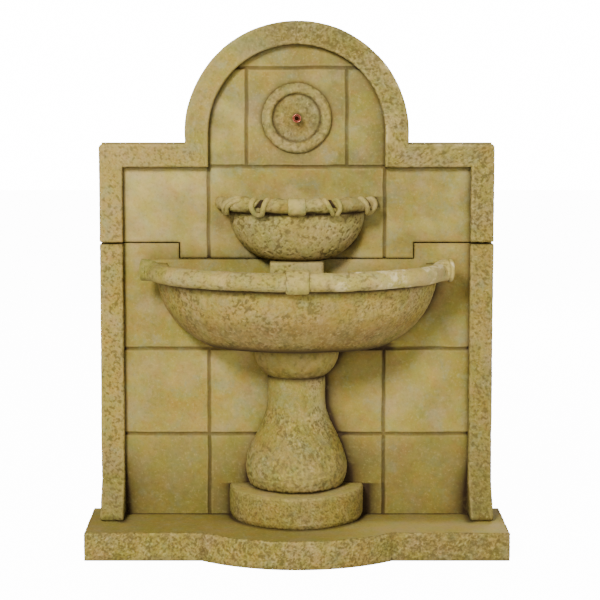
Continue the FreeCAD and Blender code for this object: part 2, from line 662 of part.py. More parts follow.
def make_upper_wall():
    owner = body("UpperWallPanel")
    crown = "arch_centre + arch_outer"
    outline = sketch(
        owner,
        "XZ_Plane",
        [
            ("- wall_half", "seam_height"),
            ("- key_half", "seam_height"),
            ("- key_half", "seam_height - key_drop"),
            ("key_half", "seam_height - key_drop"),
            ("key_half", "seam_height"),
            ("wall_half", "seam_height"),
            ("wall_half", "shoulder"),
            ("arch_outer", "shoulder"),
            ("arch_outer", "arch_centre"),
            ("- arch_outer", "arch_centre"),
            ("- arch_outer", "shoulder"),
            ("- wall_half", "shoulder"),
        ],
        {8: ("0", crown)},
    )
    pad(owner, outline, "panel_thick")
    band = sketch(
        owner,
        "XZ_Plane",
        [
            (INNER_HALF, "seam_height"),
            ("wall_half", "seam_height"),
            ("wall_half", "shoulder"),
            ("arch_outer", "shoulder"),
            ("arch_outer", "arch_centre"),
            ("- arch_outer", "arch_centre"),
            ("- arch_outer", "shoulder"),
            ("- wall_half", "shoulder"),
            ("- wall_half", "seam_height"),
            ("- " + INNER_HALF, "seam_height"),
            ("- " + INNER_HALF, "shoulder - frame_width"),
            ("- " + INNER_ARCH, "shoulder - frame_width"),
            ("- " + INNER_ARCH, "arch_centre"),
            (INNER_ARCH, "arch_centre"),
            (INNER_ARCH, "shoulder - frame_width"),
            (INNER_HALF, "shoulder - frame_width"),
        ],
        {4: ("0", crown), 12: ("0", crown + " - frame_width")},
        name="BandOutline",
    )
    pad(owner, band, "panel_thick + frame_proud", "Band")
    seam = NUMBER["seam_height"]
    frame_edges(owner, lambda b: not near(b.ZMax, seam))
    rise = "( sqrt(%s ^ 2 - ( joint_high - arch_centre ) ^ 2 ) )" % INNER_ARCH
    level = "shoulder - frame_width"
    tools = [level_joint("joint_high", rise), level_joint("( %s )" % level, INNER_ARCH)]
    tools += [upright_joint(side, level, "joint_high") for side in ("- square_half", "square_half")]
    tools += [upright_joint(side, "seam_height - key_drop", level) for side in ("- tile_half", "tile_half")]
    tools += seam_dowel_holes() + tie_recesses() + bolt_holes("bowl_bolt_side", "bowl_bolt_height")
    tools.append(channel("seam_height - key_drop", "rosette_height + channel_half"))
    tools.append(rod("-y", "0", "0", "rosette_height", "spout_radius + spout_gap", "panel_thick", "SpoutHole"))
    tools.append(rod("-y", "0", "- panel_thick + rosette_sink", "rosette_height", "rosette_outer + spout_gap",
                     "rosette_sink", "RosetteSeat"))
    for sign in ("-", ""):
        tools.append(box("%s hanger_side - hanger_width / 2 - seat_play" % sign, "- hanger_recess",
                         "hanger_height - hanger_length / 2 - seat_play", "hanger_width + 2 * seat_play",
                         "hanger_recess", "hanger_length + 2 * seat_play", "HangerSeat"))
        tools.append(box("%s hanger_side - keyhole_radius - pocket_play" % sign, "- hanger_pocket",
                         "hanger_height - keyhole_rise / 2 - keyhole_radius - pocket_play",
                         "2 * ( keyhole_radius + pocket_play )", "hanger_pocket",
                         "keyhole_rise + 2 * ( keyhole_radius + pocket_play )", "HangerPocket"))
    tools += [
        rod("-y", x, "- hanger_recess", z, "screw_radius + screw_play", "screw_length", "HangerHole")
        for x, z in HANGER_SPOTS
    ]
    for height in clip_heights():
        for sign in ("-", ""):
            tools.append(rod("-y", "%s %s" % (sign, CLIP_SCREW), "- channel_depth", height,
                             "clip_screw_radius + screw_play", "clip_screw_length", "ClipHole"))
    node("upper_wall_panel", cut(owner, tools, "UpperWallCut"))


# The rosette, the pedestal and the riser.


def make_rosette():
    owner = body("SpoutRosette")
    ring = "( rosette_outer + rosette_inner ) / 2"
    outline = sketch(
        owner,
        "XY_Plane",
        [
            ("spout_radius + spout_gap", "0"),
            ("rosette_outer", "0"),
            ("rosette_outer", "rosette_lip"),
            ("rosette_inner", "rosette_step"),
            ("rosette_inner - rosette_cove", "rosette_dish"),
            ("rosette_flat", "rosette_dish"),
            ("spout_radius + spout_gap", "rosette_boss"),
        ],
        {2: (ring, "rosette_ring"), 5: ("rosette_swell", "rosette_swell_thick")},
    )
    turned = owner.newObject("PartDesign::Revolution", "Turned")
    turned.Profile = outline
    turned.ReferenceAxis = (outline, ["V_Axis"])
    turned.Angle = 360
    owner.Placement = FreeCAD.Placement(V(), FreeCAD.Rotation(V(0, 0, 1), 180))
    bind(owner, y="- panel_thick + rosette_sink", z="rosette_height")
    node("spout_rosette", owner)


ARC_INSET = "( 1 - sqrt(0.5) )"
BELLY_IN, BELLY_UP = "0.2", "0.45"
COVE_OUT, COVE_UP, CAPITAL_BAND = "0.72", "0.3", "0.28"


def make_pedestal():
    low = "base_height"
    top = "( base_height + drum_height )"
    drum = revolved(
        "pedestal_drum",
        [
            ("0", low),
            ("drum_radius - drum_round / 2", low),
            ("drum_radius", low + " + drum_round"),
            ("drum_radius", top + " - drum_round"),
            ("drum_radius - drum_round", top),
            ("0", top),
        ],
        {3: ("drum_radius - drum_round * " + ARC_INSET, top + " - drum_round * " + ARC_INSET)},
    )
    node("pedestal_drum", drum)
    # the waist: two arcs that meet on the line from the belly to the neck, a third of the way up
    swell = "( base_height + drum_height + belly_height )"
    neck = "( capital_low - ( capital_low - base_height - drum_height ) * neck_share )"
    fall = "( shaft_belly - shaft_neck )"
    rise = "( %s - %s )" % (neck, swell)
    lean = "( sqrt(1 + ( %s / %s ) ^ 2) - 1 ) / ( %s / %s ) / 2" % (fall, rise, fall, rise)
    shaft = revolved(
        "pedestal_shaft",
        [
            ("0", top),
            ("shaft_bottom", top),
            ("shaft_belly", swell),
            ("shaft_belly - %s / 3" % fall, "%s + %s / 3" % (swell, rise)),
            ("shaft_neck", neck),
            ("shaft_neck", "capital_low"),
            ("0", "capital_low"),
        ],
        {
            1: ("shaft_belly - ( shaft_belly - shaft_bottom ) * " + BELLY_IN,
                "base_height + drum_height + belly_height * " + BELLY_UP),
            2: ("shaft_belly - %s / 6 + %s * %s / 3" % (fall, lean, rise),
                "%s + %s / 6 + %s * %s / 3" % (swell, rise, lean, fall)),
            3: ("shaft_belly - %s * 2 / 3 - %s * %s * 2 / 3" % (fall, lean, rise),
                "%s + %s * 2 / 3 - %s * %s * 2 / 3" % (swell, rise, lean, fall)),
        },
    )
    node("pedestal_shaft", shaft)
    rise = "( basin_low - capital_low )"
    capital = revolved(
        "pedestal_capital",
        [
            ("0", "capital_low"),
            ("capital_neck", "capital_low"),
            ("capital_radius", "basin_low - %s * %s" % (rise, CAPITAL_BAND)),
            ("capital_radius", "basin_low"),
            ("0", "basin_low"),
        ],
        {1: ("capital_neck + ( capital_radius - capital_neck ) * " + COVE_OUT,
             "capital_low + %s * %s" % (rise, COVE_UP))},
    )
    node("pedestal_capital", capital)


FLOOR = "( basin_low + basin_floor )"


def make_riser():
    depth = "riser_front - basin_back - riser_gap"
    owner = body("BowlRiser")
    outline = sketch(
        owner,
        "XY_Plane",
        [
            ("- riser_half", "- panel_thick - riser_front"),
            ("riser_half", "- panel_thick - riser_front"),
            ("riser_half", "- panel_thick - basin_back - riser_gap"),
            ("riser_half - riser_wall", "- panel_thick - basin_back - riser_gap"),
            ("riser_half - riser_wall", "- panel_thick - riser_front + riser_wall"),
            ("- riser_half + riser_wall", "- panel_thick - riser_front + riser_wall"),
            ("- riser_half + riser_wall", "- panel_thick - basin_back - riser_gap"),
            ("- riser_half", "- panel_thick - basin_back - riser_gap"),
        ],
        offset=FLOOR,
    )
    pad(owner, outline, "bowl_low - " + FLOOR)
    front = -(NUMBER["panel_thick"] + NUMBER["riser_front"])
    tall = NUMBER["notch_height"]
    rounded(owner, "riser_round", lambda e: near(e.BoundBox.YMax, front) and e.BoundBox.ZLength > tall)
    half, top = NUMBER["riser_half"], NUMBER["bowl_low"]
    inside = half - NUMBER["riser_round"] - 0.1

    def outer_top(edge):
        box_ = edge.BoundBox
        if not near(box_.ZMin, top):
            return False
        return near(box_.YMax, front) or min(abs(box_.XMin), abs(box_.XMax)) > inside

    rounded(owner, "riser_top_round", outer_top, "TopRounding")
    notch = box("- riser_half", "- panel_thick - basin_back - ( %s ) / 2 - notch_width / 2" % depth, FLOOR,
                "2 * riser_half", "notch_width", "notch_height", "WaterNotch")
    node("bowl_riser", cut(owner, [notch], "BowlRiserNotched"))


# The basin and the bowl: half-round castings on an oval plan, with a rolled rim.


def oval_turned(profile, squash):
    """A profile of half width and height, turned half round the front and squashed in depth, with its flat back on
    the tiled face."""
    face = Part.Face(Part.Wire(profile))
    half = face.revolve(V(0, 0, 0), V(0, 0, 1), -180)
    matrix = FreeCAD.Matrix()
    matrix.scale(1, squash, 1)
    half = half.transformGeometry(matrix)
    half.translate(V(0, -NUMBER["panel_thick"], 0))
    return half


def line(a, b):
    return Part.LineSegment(V(a[0], 0, a[1]), V(b[0], 0, b[1])).toShape()


def bow(a, middle, b):
    return Part.Arc(V(a[0], 0, a[1]), V(middle[0], 0, middle[1]), V(b[0], 0, b[1])).toShape()


def rim_turns(reach, across, out, first, second):
    """The two tangent arcs, each a radius and an angle in degrees, that lead a rim from its front middle to a place
    beside it. The radii are the answer of two linear equations."""
    one, two = math.radians(first), math.radians(first + second)
    side = (math.sin(one), math.sin(two) - math.sin(one))
    back = (1 - math.cos(one), math.cos(one) - math.cos(two))
    whole = side[0] * back[1] - side[1] * back[0]
    fall = reach - out
    return [
        ((across * back[1] - side[1] * fall) / whole, first),
        ((side[0] * fall - back[0] * across) / whole, second),
    ]


def half_oval(half, deep, height):
    """The outline of half an oval in front of the tiled face, closed along it."""
    wall = -NUMBER["panel_thick"]
    front = Part.ArcOfEllipse(Part.Ellipse(V(0, wall, height), half, deep), math.pi, 2 * math.pi).toShape()
    back = Part.LineSegment(V(half, wall, height), V(-half, wall, height)).toShape()
    return Part.Wire([front, back])


def rim_arcs(reach, turns, tail, height):
    """The right half of a rim's centre line, as edges, and the place and heading of its end. It starts at the front
    middle, heading to the right, and each turn is a radius and an angle, positive towards the wall."""
    wall = -NUMBER["panel_thick"]
    across, out, heading = 0.0, reach, 0.0
    edges = []
    for radius, angle in turns:
        side = 1 if angle > 0 else -1

        def reached(share):
            before, after = math.radians(heading), math.radians(heading + angle * share)
            return (across + side * radius * (math.sin(after) - math.sin(before)),
                    out - side * radius * (math.cos(before) - math.cos(after)))

        spots = [reached(share) for share in (0, 0.5, 1)]
        edges.append(Part.Arc(*[V(x, wall - d, height) for x, d in spots]).toShape())
        across, out = spots[2]
        heading += angle
    direction = V(math.cos(math.radians(heading)), math.sin(math.radians(heading)), 0)
    end = V(across, wall - out, height)
    if tail:
        edges.append(Part.LineSegment(end, end + direction * tail).toShape())
        end = end + direction * tail
    return edges, end, direction


def both_sides(edges):
    """A wire from the left end to the right end, from the edges of its right half."""
    return Part.Wire(Part.__sortEdges__(edges + [e.mirror(V(), V(1, 0, 0)) for e in edges]))


def rim_slab(path, low, high):
    """A slab from a rim's centre line back to the tiled face."""
    wall = -NUMBER["panel_thick"]
    ends = [v.Point for v in path.OrderedVertexes]
    left, right = ends[0], ends[-1]
    behind = [V(right.x, wall + 50, right.z), V(left.x, wall + 50, left.z)]
    closing = Part.makePolygon([right] + behind + [left])
    slab = Part.Face(Part.Wire(Part.__sortEdges__(path.Edges + closing.Edges)))
    slab = slab.extrude(V(0, 0, high - low))
    slab.translate(V(0, 0, low - left.z))
    return in_front(slab)


def in_front(shape):
    """What lies in front of the tiled face."""
    wall, far = -NUMBER["panel_thick"], 2 * NUMBER["base_half"]
    return shape.common(block(-far, wall - far, 0, far, wall, 2 * far))


def tube(path, radius, start, direction):
    """A round bar along a wire of edges."""
    ring = Part.Wire(Part.Circle(start, direction, radius).toShape())
    return path.makePipeShell([ring], True, False)


def block(x0, y0, z0, x1, y1, z1):
    return Part.makeBox(x1 - x0, y1 - y0, z1 - z0, V(x0, y0, z0))


def clasp(grip, reach, radius, depth, height):
    """A band across the middle of a rim's roll: a short bar along X, open behind."""
    wall = -NUMBER["panel_thick"]
    bar = Part.makeCylinder(radius, 2 * grip, V(-grip, wall - reach + 2, height), V(1, 0, 0))
    ends = [e for e in bar.Edges if e.Closed and len(e.Vertexes) == 1]
    bar = bar.makeFillet(NUMBER["clasp_round"], ends)
    return bar.common(block(-grip, wall - reach - 2 * radius, height - 2 * radius, grip, wall - reach + depth,
                            height + 2 * radius))


BASIN_ANGLES = (38, 32)
BOWL_ANGLES = (32, 58)
BOWL_LEVELS = (0, 0.05, 0.15, 0.3, 0.5, 0.75, 1)
OVERLAP = 5


def basin_shape():
    n = NUMBER
    wall = -n["panel_thick"]
    low, rim, roll = n["basin_low"], n["basin_rim"], n["basin_roll"]
    top = rim - roll + OVERLAP
    half, foot = n["basin_half"], n["basin_foot"]
    # the bulging side runs from the rim down to the flat underside
    knee = (n["basin_knee"], low + n["basin_knee_rise"])
    toe = (n["basin_toe"], low + n["basin_toe_rise"])
    outer = [
        line((0, low), (foot, low)),
        line((foot, low), toe),
        bow(toe, knee, (half, top)),
        line((half, top), (0, top)),
        line((0, top), (0, low)),
    ]
    shell = oval_turned(outer, n["basin_squash"])
    turns = rim_turns(n["basin_reach"], n["basin_turn"], n["basin_turn_out"], *BASIN_ANGLES)
    turns.append((n["basin_curl"], -n["basin_curl_angle"]))
    edges, end, outward = rim_arcs(n["basin_reach"], turns, n["basin_tail"], rim)
    path = both_sides(edges)
    solid = shell.fuse(rim_slab(path, top - OVERLAP, rim + roll / 3))
    # the cavity
    thick = n["basin_wall"]
    floor = low + n["basin_floor"]
    mouth = half - thick
    inner_toe = (foot - thick / 5, floor)
    inner_knee = (knee[0] - thick, knee[1] + thick / 3)
    over = rim + 2 * roll
    inner = [
        line((0, floor), inner_toe),
        bow(inner_toe, inner_knee, (mouth, top)),
        line((mouth, top), (mouth, over)),
        line((mouth, over), (0, over)),
        line((0, over), (0, floor)),
    ]
    cavity = oval_turned(inner, n["basin_squash"])
    back, back_top = wall - n["basin_back"], n["basin_back_top"]
    ear = n["basin_ear"]
    keep = block(-half, back, low, half, wall + OVERLAP, back_top)
    for left, right in ((-half, -ear), (ear, half)):
        keep = keep.fuse(block(left, back, back_top - OVERLAP, right, wall + OVERLAP, over + OVERLAP))
    solid = solid.cut(cavity.cut(keep))
    # the ears that close the rim against the wall, rising to the flanges
    for sign in (-1, 1):
        corners = [(ear, top - OVERLAP), (ear, rim), (end.x, rim + roll), (end.x, top - OVERLAP)]
        wire = Part.makePolygon([V(sign * x, wall, z) for x, z in corners + corners[:1]])
        solid = solid.fuse(Part.Face(wire).extrude(V(0, end.y - wall + roll, 0)))
    solid = solid.fuse(basin_roll(path, end, outward))
    solid = solid.fuse(clasp(n["clasp_half"], n["basin_reach"], roll + n["clasp_proud"], roll / 2, rim))
    sleeve = n["drain_radius"] + n["drain_wall"]
    through = n["basin_floor"] + 2 * OVERLAP
    solid = solid.cut(Part.makeCylinder(sleeve, through, V(n["drain_side"], wall - n["drain_out"], low - OVERLAP)))
    return bolt_drilled(solid, n["basin_bolt_side"], n["basin_bolt_height"], n["basin_back"])


def bolt_drilled(solid, side, height, thick):
    """A casting with the holes for its pair of fixing bolts in its back wall."""
    radius = NUMBER["bolt_radius"] + NUMBER["bolt_play"]
    start = OVERLAP - NUMBER["panel_thick"]
    for sign in (-1, 1):
        solid = solid.cut(Part.makeCylinder(radius, thick + 2 * OVERLAP, V(sign * side, start, height), V(0, -1, 0)))
    return solid.removeSplitter()


def basin_roll(path, end, outward):
    """The basin's rolled rim, which ends in round flanges."""
    n = NUMBER
    start = path.OrderedVertexes[0].Point
    bar = tube(path, n["basin_roll"], start, V(outward.x, -outward.y, 0))
    for sign in (-1, 1):
        axis = V(sign * outward.x, outward.y, 0)
        foot = V(sign * end.x, end.y, n["basin_rim"] + n["flange_lift"]) - axis * OVERLAP
        flange = Part.makeCylinder(n["flange_radius"], n["flange_thick"] + OVERLAP, foot, axis)
        rings = [e for e in flange.Edges if e.Closed and len(e.Vertexes) == 1]
        bar = bar.fuse(flange.makeFillet(n["flange_round"], rings))
    return in_front(bar)


def bowl_half(profile, height):
    """The bowl's half width at a height, on the arc of its side."""
    return profile.Center.x + math.sqrt(profile.Radius ** 2 - (height - profile.Center.z) ** 2)


def bowl_body(profile, low, high, inset):
    """The bowl's body between two heights: half ovals that grow deeper, for their width, towards the foot. The inset
    is how much narrower and shallower the body is."""
    n = NUMBER
    foot = n["bowl_low"]
    rise = n["bowl_rim"] - n["bowl_roll"] + OVERLAP - foot
    outlines = []
    for level in BOWL_LEVELS:
        height = low + (high - low) * level
        half = bowl_half(profile, height)
        squash = n["bowl_squash"] + (n["bowl_foot_squash"] - n["bowl_squash"]) * (1 - (height - foot) / rise) ** 3
        outlines.append(half_oval(half - inset, half * squash - inset, height))
    return Part.makeLoft(outlines, True, False)


def bowl_shape():
    n = NUMBER
    wall = -n["panel_thick"]
    low, rim, roll = n["bowl_low"], n["bowl_rim"], n["bowl_roll"]
    top = rim - roll + OVERLAP
    profile = Part.Arc(V(n["bowl_foot"], 0, low), V(n["bowl_knee"], 0, low + n["bowl_knee_rise"]),
                       V(n["bowl_half"], 0, top)).toShape().Curve
    shell = bowl_body(profile, low, top, 0)
    turns = rim_turns(n["bowl_reach"], n["bowl_spread"], 0, *BOWL_ANGLES)
    edges, end, outward = rim_arcs(n["bowl_reach"], turns, roll, rim)
    path = both_sides(edges)
    solid = shell.fuse(rim_slab(path, top - OVERLAP, rim + roll / 3))
    cavity = bowl_body(profile, low + n["bowl_floor"], top, n["bowl_wall"])
    mouth = half_oval(n["bowl_half"] - n["bowl_wall"], n["bowl_half"] * n["bowl_squash"] - n["bowl_wall"], top)
    cavity = cavity.fuse(Part.Face(mouth).extrude(V(0, 0, 3 * roll)))
    back = wall - n["bowl_wall"]
    half = n["bowl_half"]
    solid = solid.cut(cavity.cut(block(-half, back, low, half, wall + OVERLAP, n["bowl_back_top"])))
    start = path.OrderedVertexes[0].Point
    solid = solid.fuse(in_front(tube(path, roll, start, V(outward.x, -outward.y, 0))))
    solid = solid.fuse(clasp(n["bowl_clasp_half"], n["bowl_reach"], roll + n["bowl_clasp_proud"], roll / 2, rim))
    return bolt_drilled(solid, n["bowl_bolt_side"], n["bowl_bolt_height"], n["bowl_wall"])


def make_basin_and_bowl():
    node("lower_basin", feature("LowerBasin", basin_shape()))
    node("upper_bowl", feature("UpperBowl", bowl_shape()))


# The water works: the copper spout, the hose and what holds them.

def make_spout():
    back = "( hose_back + elbow_seat )"
    length = "panel_thick + spout_reach - %s" % back
    tube_out = rod("-y", "0", "- " + back, "rosette_height", "spout_radius", length, "SpoutOuter")
    bore = rod("-y", "0", "- " + back, "rosette_height", "spout_bore", length, "SpoutBore")
    node("spout_tube", cut(tube_out, [bore], "SpoutTube"))
    socket = "( channel_depth - nut_thick - elbow_gap - hose_back )"
    spigot = "hose_bore - spigot_play"
    low = "rosette_height - elbow_leg - hose_push"
    shell = joined([
        rod("-y", "0", "- hose_back", "rosette_height", "spout_radius + elbow_wall", socket, "Socket"),
        rod("z", "0", "- hose_back", "rosette_height - elbow_leg", "spout_radius + elbow_wall", "elbow_leg", "Leg"),
        bind(DOC.addObject("Part::Sphere", "Corner"), y="- hose_back", z="rosette_height",
             Radius="spout_radius + elbow_wall"),
        rod("z", "0", "- hose_back", low, spigot, "hose_push + elbow_wall", "Spigot"),
    ], "ElbowOuter")
    bores = [
        rod("-y", "0", "- hose_back", "rosette_height", "spout_bore - elbow_lip", socket, "SocketBore"),
        rod("z", "0", "- hose_back", low, "hose_bore - spigot_wall", "elbow_leg + hose_push", "LegBore"),
        rod("-y", "0", "- " + back, "rosette_height", "spout_radius + spigot_play", socket, "SocketSeat"),
    ]
    node("spout_elbow", cut(shell, bores, "SpoutElbow"))
    nut = hexagon("-y", "0", "- channel_depth + nut_thick", "rosette_height", "nut_across", "nut_thick", "Nut")
    hole = rod("-y", "0", "- channel_depth + nut_thick", "rosette_height", "spout_radius + spigot_play",
               "nut_thick", "NutHole")
    node("spout_lock_nut", cut(nut, [hole], "SpoutLockNut"))


PUMP_AXIS_OUT = "( pump_back + pump_depth / 2 )"
PUMP_LOW = "( basin_low + basin_floor + foot_height )"
PUMP_AXIS = "( basin_low + basin_floor + foot_height + pump_height / 2 )"
OUTLET_TOP = "( basin_low + basin_floor + foot_height + pump_height + hose_push + spigot_wall )"


def hose_path():
    """The hose's centre line: up from the pump, an S bend through the wall, and up the channel to the elbow."""
    start_y = -worth("panel_thick + " + PUMP_AXIS_OUT)
    end_y = -NUMBER["hose_back"]
    radius = (end_y - start_y) / 2
    turn = NUMBER["hose_height"]
    low = worth(OUTLET_TOP + " - hose_push")
    high = worth("rosette_height - elbow_leg")
    middle = (start_y + end_y) / 2
    lean = radius * math.sqrt(0.5)
    first = Part.Arc(V(0, start_y, turn - radius), V(0, middle - lean, turn - radius + lean), V(0, middle, turn))
    second = Part.Arc(V(0, middle, turn), V(0, middle + lean, turn + radius - lean), V(0, end_y, turn + radius))
    return Part.Wire([
        Part.LineSegment(V(0, start_y, low), V(0, start_y, turn - radius)).toShape(),
        first.toShape(),
        second.toShape(),
        Part.LineSegment(V(0, end_y, turn + radius), V(0, end_y, high)).toShape(),
    ])


def make_hose():
    path = hose_path()
    start = path.Edges[0].Vertexes[0].Point
    up = V(0, 0, 1)
    outer = tube(path, NUMBER["hose_radius"], start, up)
    inner = tube(path, NUMBER["hose_bore"], start, up)
    hose = outer.cut(inner)
    section = math.pi * (NUMBER["hose_radius"] ** 2 - NUMBER["hose_bore"] ** 2)
    print("hose: length %.1f mm, volume over section times length %.4f, bends of %.1f mm"
          % (path.Length, hose.Volume / section / path.Length, path.Edges[1].Curve.Radius))
    node("supply_hose", feature("SupplyHose", hose))
    clamps = []
    for height, out in (
        (OUTLET_TOP + " - clamp_back", "panel_thick + " + PUMP_AXIS_OUT),
        ("rosette_height - elbow_leg - hose_push + clamp_back - clamp_width", "hose_back"),
    ):
        band = rod("z", "0", "- ( %s )" % out, height, "hose_radius + clamp_thick", "clamp_width", "Band")
        screw = box("- clamp_screw / 2", "- ( %s ) - hose_radius - clamp_screw * 3 / 4" % out, height,
                    "clamp_screw", "clamp_screw", "clamp_width", "ClampScrew")
        hole = rod("z", "0", "- ( %s )" % out, height, "hose_radius", "clamp_width", "BandHole")
        clamps.append(cut(joined([band, screw]), [hole], "HoseClamp"))
    node("hose_clamps", group(clamps, "HoseClamps"))


def make_clips():
    """Saddle clips that hold the hose in its channel, each with a pair of screws."""
    clips, screws = [], []
    outer, edge = "( hose_radius + clip_thick )", "( channel_half - clip_play )"
    for height in clip_heights():
        owner = body("ClipBody")
        outline = sketch(
            owner,
            "XY_Plane",
            [
                ("- " + edge, "- channel_depth"),
                ("- hose_radius", "- channel_depth"),
                ("- hose_radius", "- hose_back"),
                ("hose_radius", "- hose_back"),
                ("hose_radius", "- channel_depth"),
                (edge, "- channel_depth"),
                (edge, "- channel_depth + clip_thick"),
                (outer, "- channel_depth + clip_thick"),
                (outer, "- hose_back"),
                ("- " + outer, "- hose_back"),
                ("- " + outer, "- channel_depth + clip_thick"),
                ("- " + edge, "- channel_depth + clip_thick"),
            ],
            {2: ("0", "- hose_back + hose_radius"), 8: ("0", "- hose_back + " + outer)},
            offset=height + " - clip_width / 2",
        )
        pad(owner, outline, "clip_width")
        holes = []
        for sign in ("-", ""):
            x = "%s %s" % (sign, CLIP_SCREW)
            holes.append(rod("-y", x, "- channel_depth + clip_thick", height, "clip_screw_radius + screw_play",
                             "clip_thick", "ClipHole"))
            shank = rod("-y", x, "- channel_depth + clip_thick", height, "clip_screw_radius",
                        "clip_screw_length - screw_play + clip_thick", "ClipShank")
            head = rod("-y", x, "- channel_depth + clip_thick + clip_head", height, "clip_head_radius",
                       "clip_head", "ClipHead")
            screws.append(joined([shank, head], "ClipScrew"))
        clips.append(cut(owner, holes, "HoseClip"))
    node("hose_clips", group(clips, "HoseClips"))
    node("hose_clip_screws", group(screws, "HoseClipScrews"))


# The pump: its shaft lies along X, with the outlet in the middle of the fountain.

VOLUTE_LEFT = "( - pump_volute / 2 )"
VOLUTE_RIGHT = "( pump_volute / 2 )"
PUMP_Y = "( - panel_thick - pump_back - pump_depth / 2 )"


def pump_block(left, length, inset, name):
    """A rounded box around the pump's axis."""
    thing = box(left, "- panel_thick - pump_back - pump_depth + " + inset, "%s + %s" % (PUMP_LOW, inset),
                length, "pump_depth - 2 * ( %s )" % inset, "pump_height - 2 * ( %s )" % inset, name)
    return thing


def rounded_along_x(block_, radius, name):
    """Fillet the four edges that run along X."""
    DOC.recompute()
    value = worth(radius)
    chosen = []
    for number, edge in enumerate(block_.Shape.Edges, start=1):
        if edge.BoundBox.YLength < 0.01 and edge.BoundBox.ZLength < 0.01:
            chosen.append((number, value, value))
    thing = DOC.addObject("Part::Fillet", name)
    thing.Base = block_
    thing.Edges = chosen
    return thing


def make_pump():
    axis = dict(y=PUMP_Y, z=PUMP_AXIS)
    motor_left = "( - pump_volute / 2 - pump_motor )"
    well = "rotor_radius + rotor_gap"
    well_length = "( rotor_length + 2 * rotor_float )"
    housing = rounded_along_x(pump_block(motor_left, "pump_motor", "0", "MotorBlock"), "pump_round", "Motor")
    shaft_left = "( - pump_volute / 2 - %s - bush_length )" % well_length
    housing = cut(housing, [
        rod("x", "%s - %s" % (VOLUTE_LEFT, well_length), axis["y"], axis["z"], well, well_length, "Well"),
        rod("x", shaft_left, axis["y"], axis["z"], "bush_radius", "bush_length + rotor_float", "BushSeat"),
    ], "PumpHousing")
    node("pump_housing", housing)
    volute = rounded_along_x(pump_block(VOLUTE_LEFT, "pump_volute", "0", "VoluteBlock"), "pump_round", "Volute")
    barb = rod("z", "0", axis["y"], PUMP_AXIS, "hose_bore - spigot_play", "%s - %s" % (OUTLET_TOP, PUMP_AXIS),
               "Outlet")
    chamber = rod("x", VOLUTE_LEFT, axis["y"], axis["z"], "impeller_radius + volute_gap",
                  "pump_volute - pump_wall", "Chamber")
    outlet = rod("z", "0", axis["y"], PUMP_AXIS, "hose_bore - spigot_wall", "%s - %s" % (OUTLET_TOP, PUMP_AXIS),
                 "OutletBore")
    intakes = []
    for number in range(int(NUMBER["intake_count"])):
        spin = "( %d * 360 deg / intake_count )" % number
        y = "%s + intake_circle * cos%s" % (PUMP_Y, spin)
        z = "%s + intake_circle * sin%s" % (PUMP_AXIS, spin)
        intakes.append(rod("x", "%s - pump_wall" % VOLUTE_RIGHT, y, z, "intake_radius", "pump_wall", "Intake"))
    seat = rod("x", "%s - pump_wall" % VOLUTE_RIGHT, axis["y"], axis["z"], "bush_radius", "pump_wall", "FrontSeat")
    cover = cut(joined([volute, barb], "VoluteOuter"), [chamber, outlet, seat] + intakes, "PumpVolute")
    node("pump_volute_cover", cover)
    shaft_right = VOLUTE_RIGHT
    length = "%s - %s" % (shaft_right, shaft_left)
    node("pump_rotor_shaft", rod("x", shaft_left, axis["y"], axis["z"], "shaft_radius", length, "RotorShaft"))
    bushes = []
    for left, size in ((shaft_left, "bush_length"), ("( %s - pump_wall )" % VOLUTE_RIGHT, "pump_wall")):
        outer = rod("x", left, axis["y"], axis["z"], "bush_radius", size, "Bush")
        hole = rod("x", left, axis["y"], axis["z"], "shaft_radius", size, "BushHole")
        bushes.append(cut(outer, [hole], "RotorBush"))
    node("pump_shaft_bushes", group(bushes, "ShaftBushes"))
    magnet_left = "( - pump_volute / 2 - rotor_length - rotor_float )"
    impeller_left = "( - pump_volute / 2 + impeller_set )"
    parts = [
        rod("x", magnet_left, axis["y"], axis["z"], "rotor_radius", "rotor_length + rotor_float", "Magnet"),
        rod("x", "- pump_volute / 2", axis["y"], axis["z"], "rotor_hub", "impeller_set + impeller_width", "Hub"),
        rod("x", impeller_left, axis["y"], axis["z"], "impeller_radius", "impeller_set", "Disc"),
    ]
    for number in range(int(NUMBER["vane_count"])):
        vane = DOC.addObject("Part::Box", "Vane")
        spin = FreeCAD.Rotation(V(1, 0, 0), 360.0 * number / NUMBER["vane_count"])
        vane.Placement = FreeCAD.Placement(V(), spin)
        bind(vane, x=impeller_left, y=PUMP_Y, z=PUMP_AXIS, Length="impeller_width", Width="vane_thick",
             Height="impeller_radius")
        parts.append(vane)
    bore = rod("x", magnet_left, axis["y"], axis["z"], "shaft_radius + shaft_play",
               "rotor_length + rotor_float + pump_volute", "RotorBore")
    node("pump_rotor", cut(joined(parts, "RotorBlank"), [bore], "PumpRotor"))
    make_filter()
    make_pump_trim(motor_left)


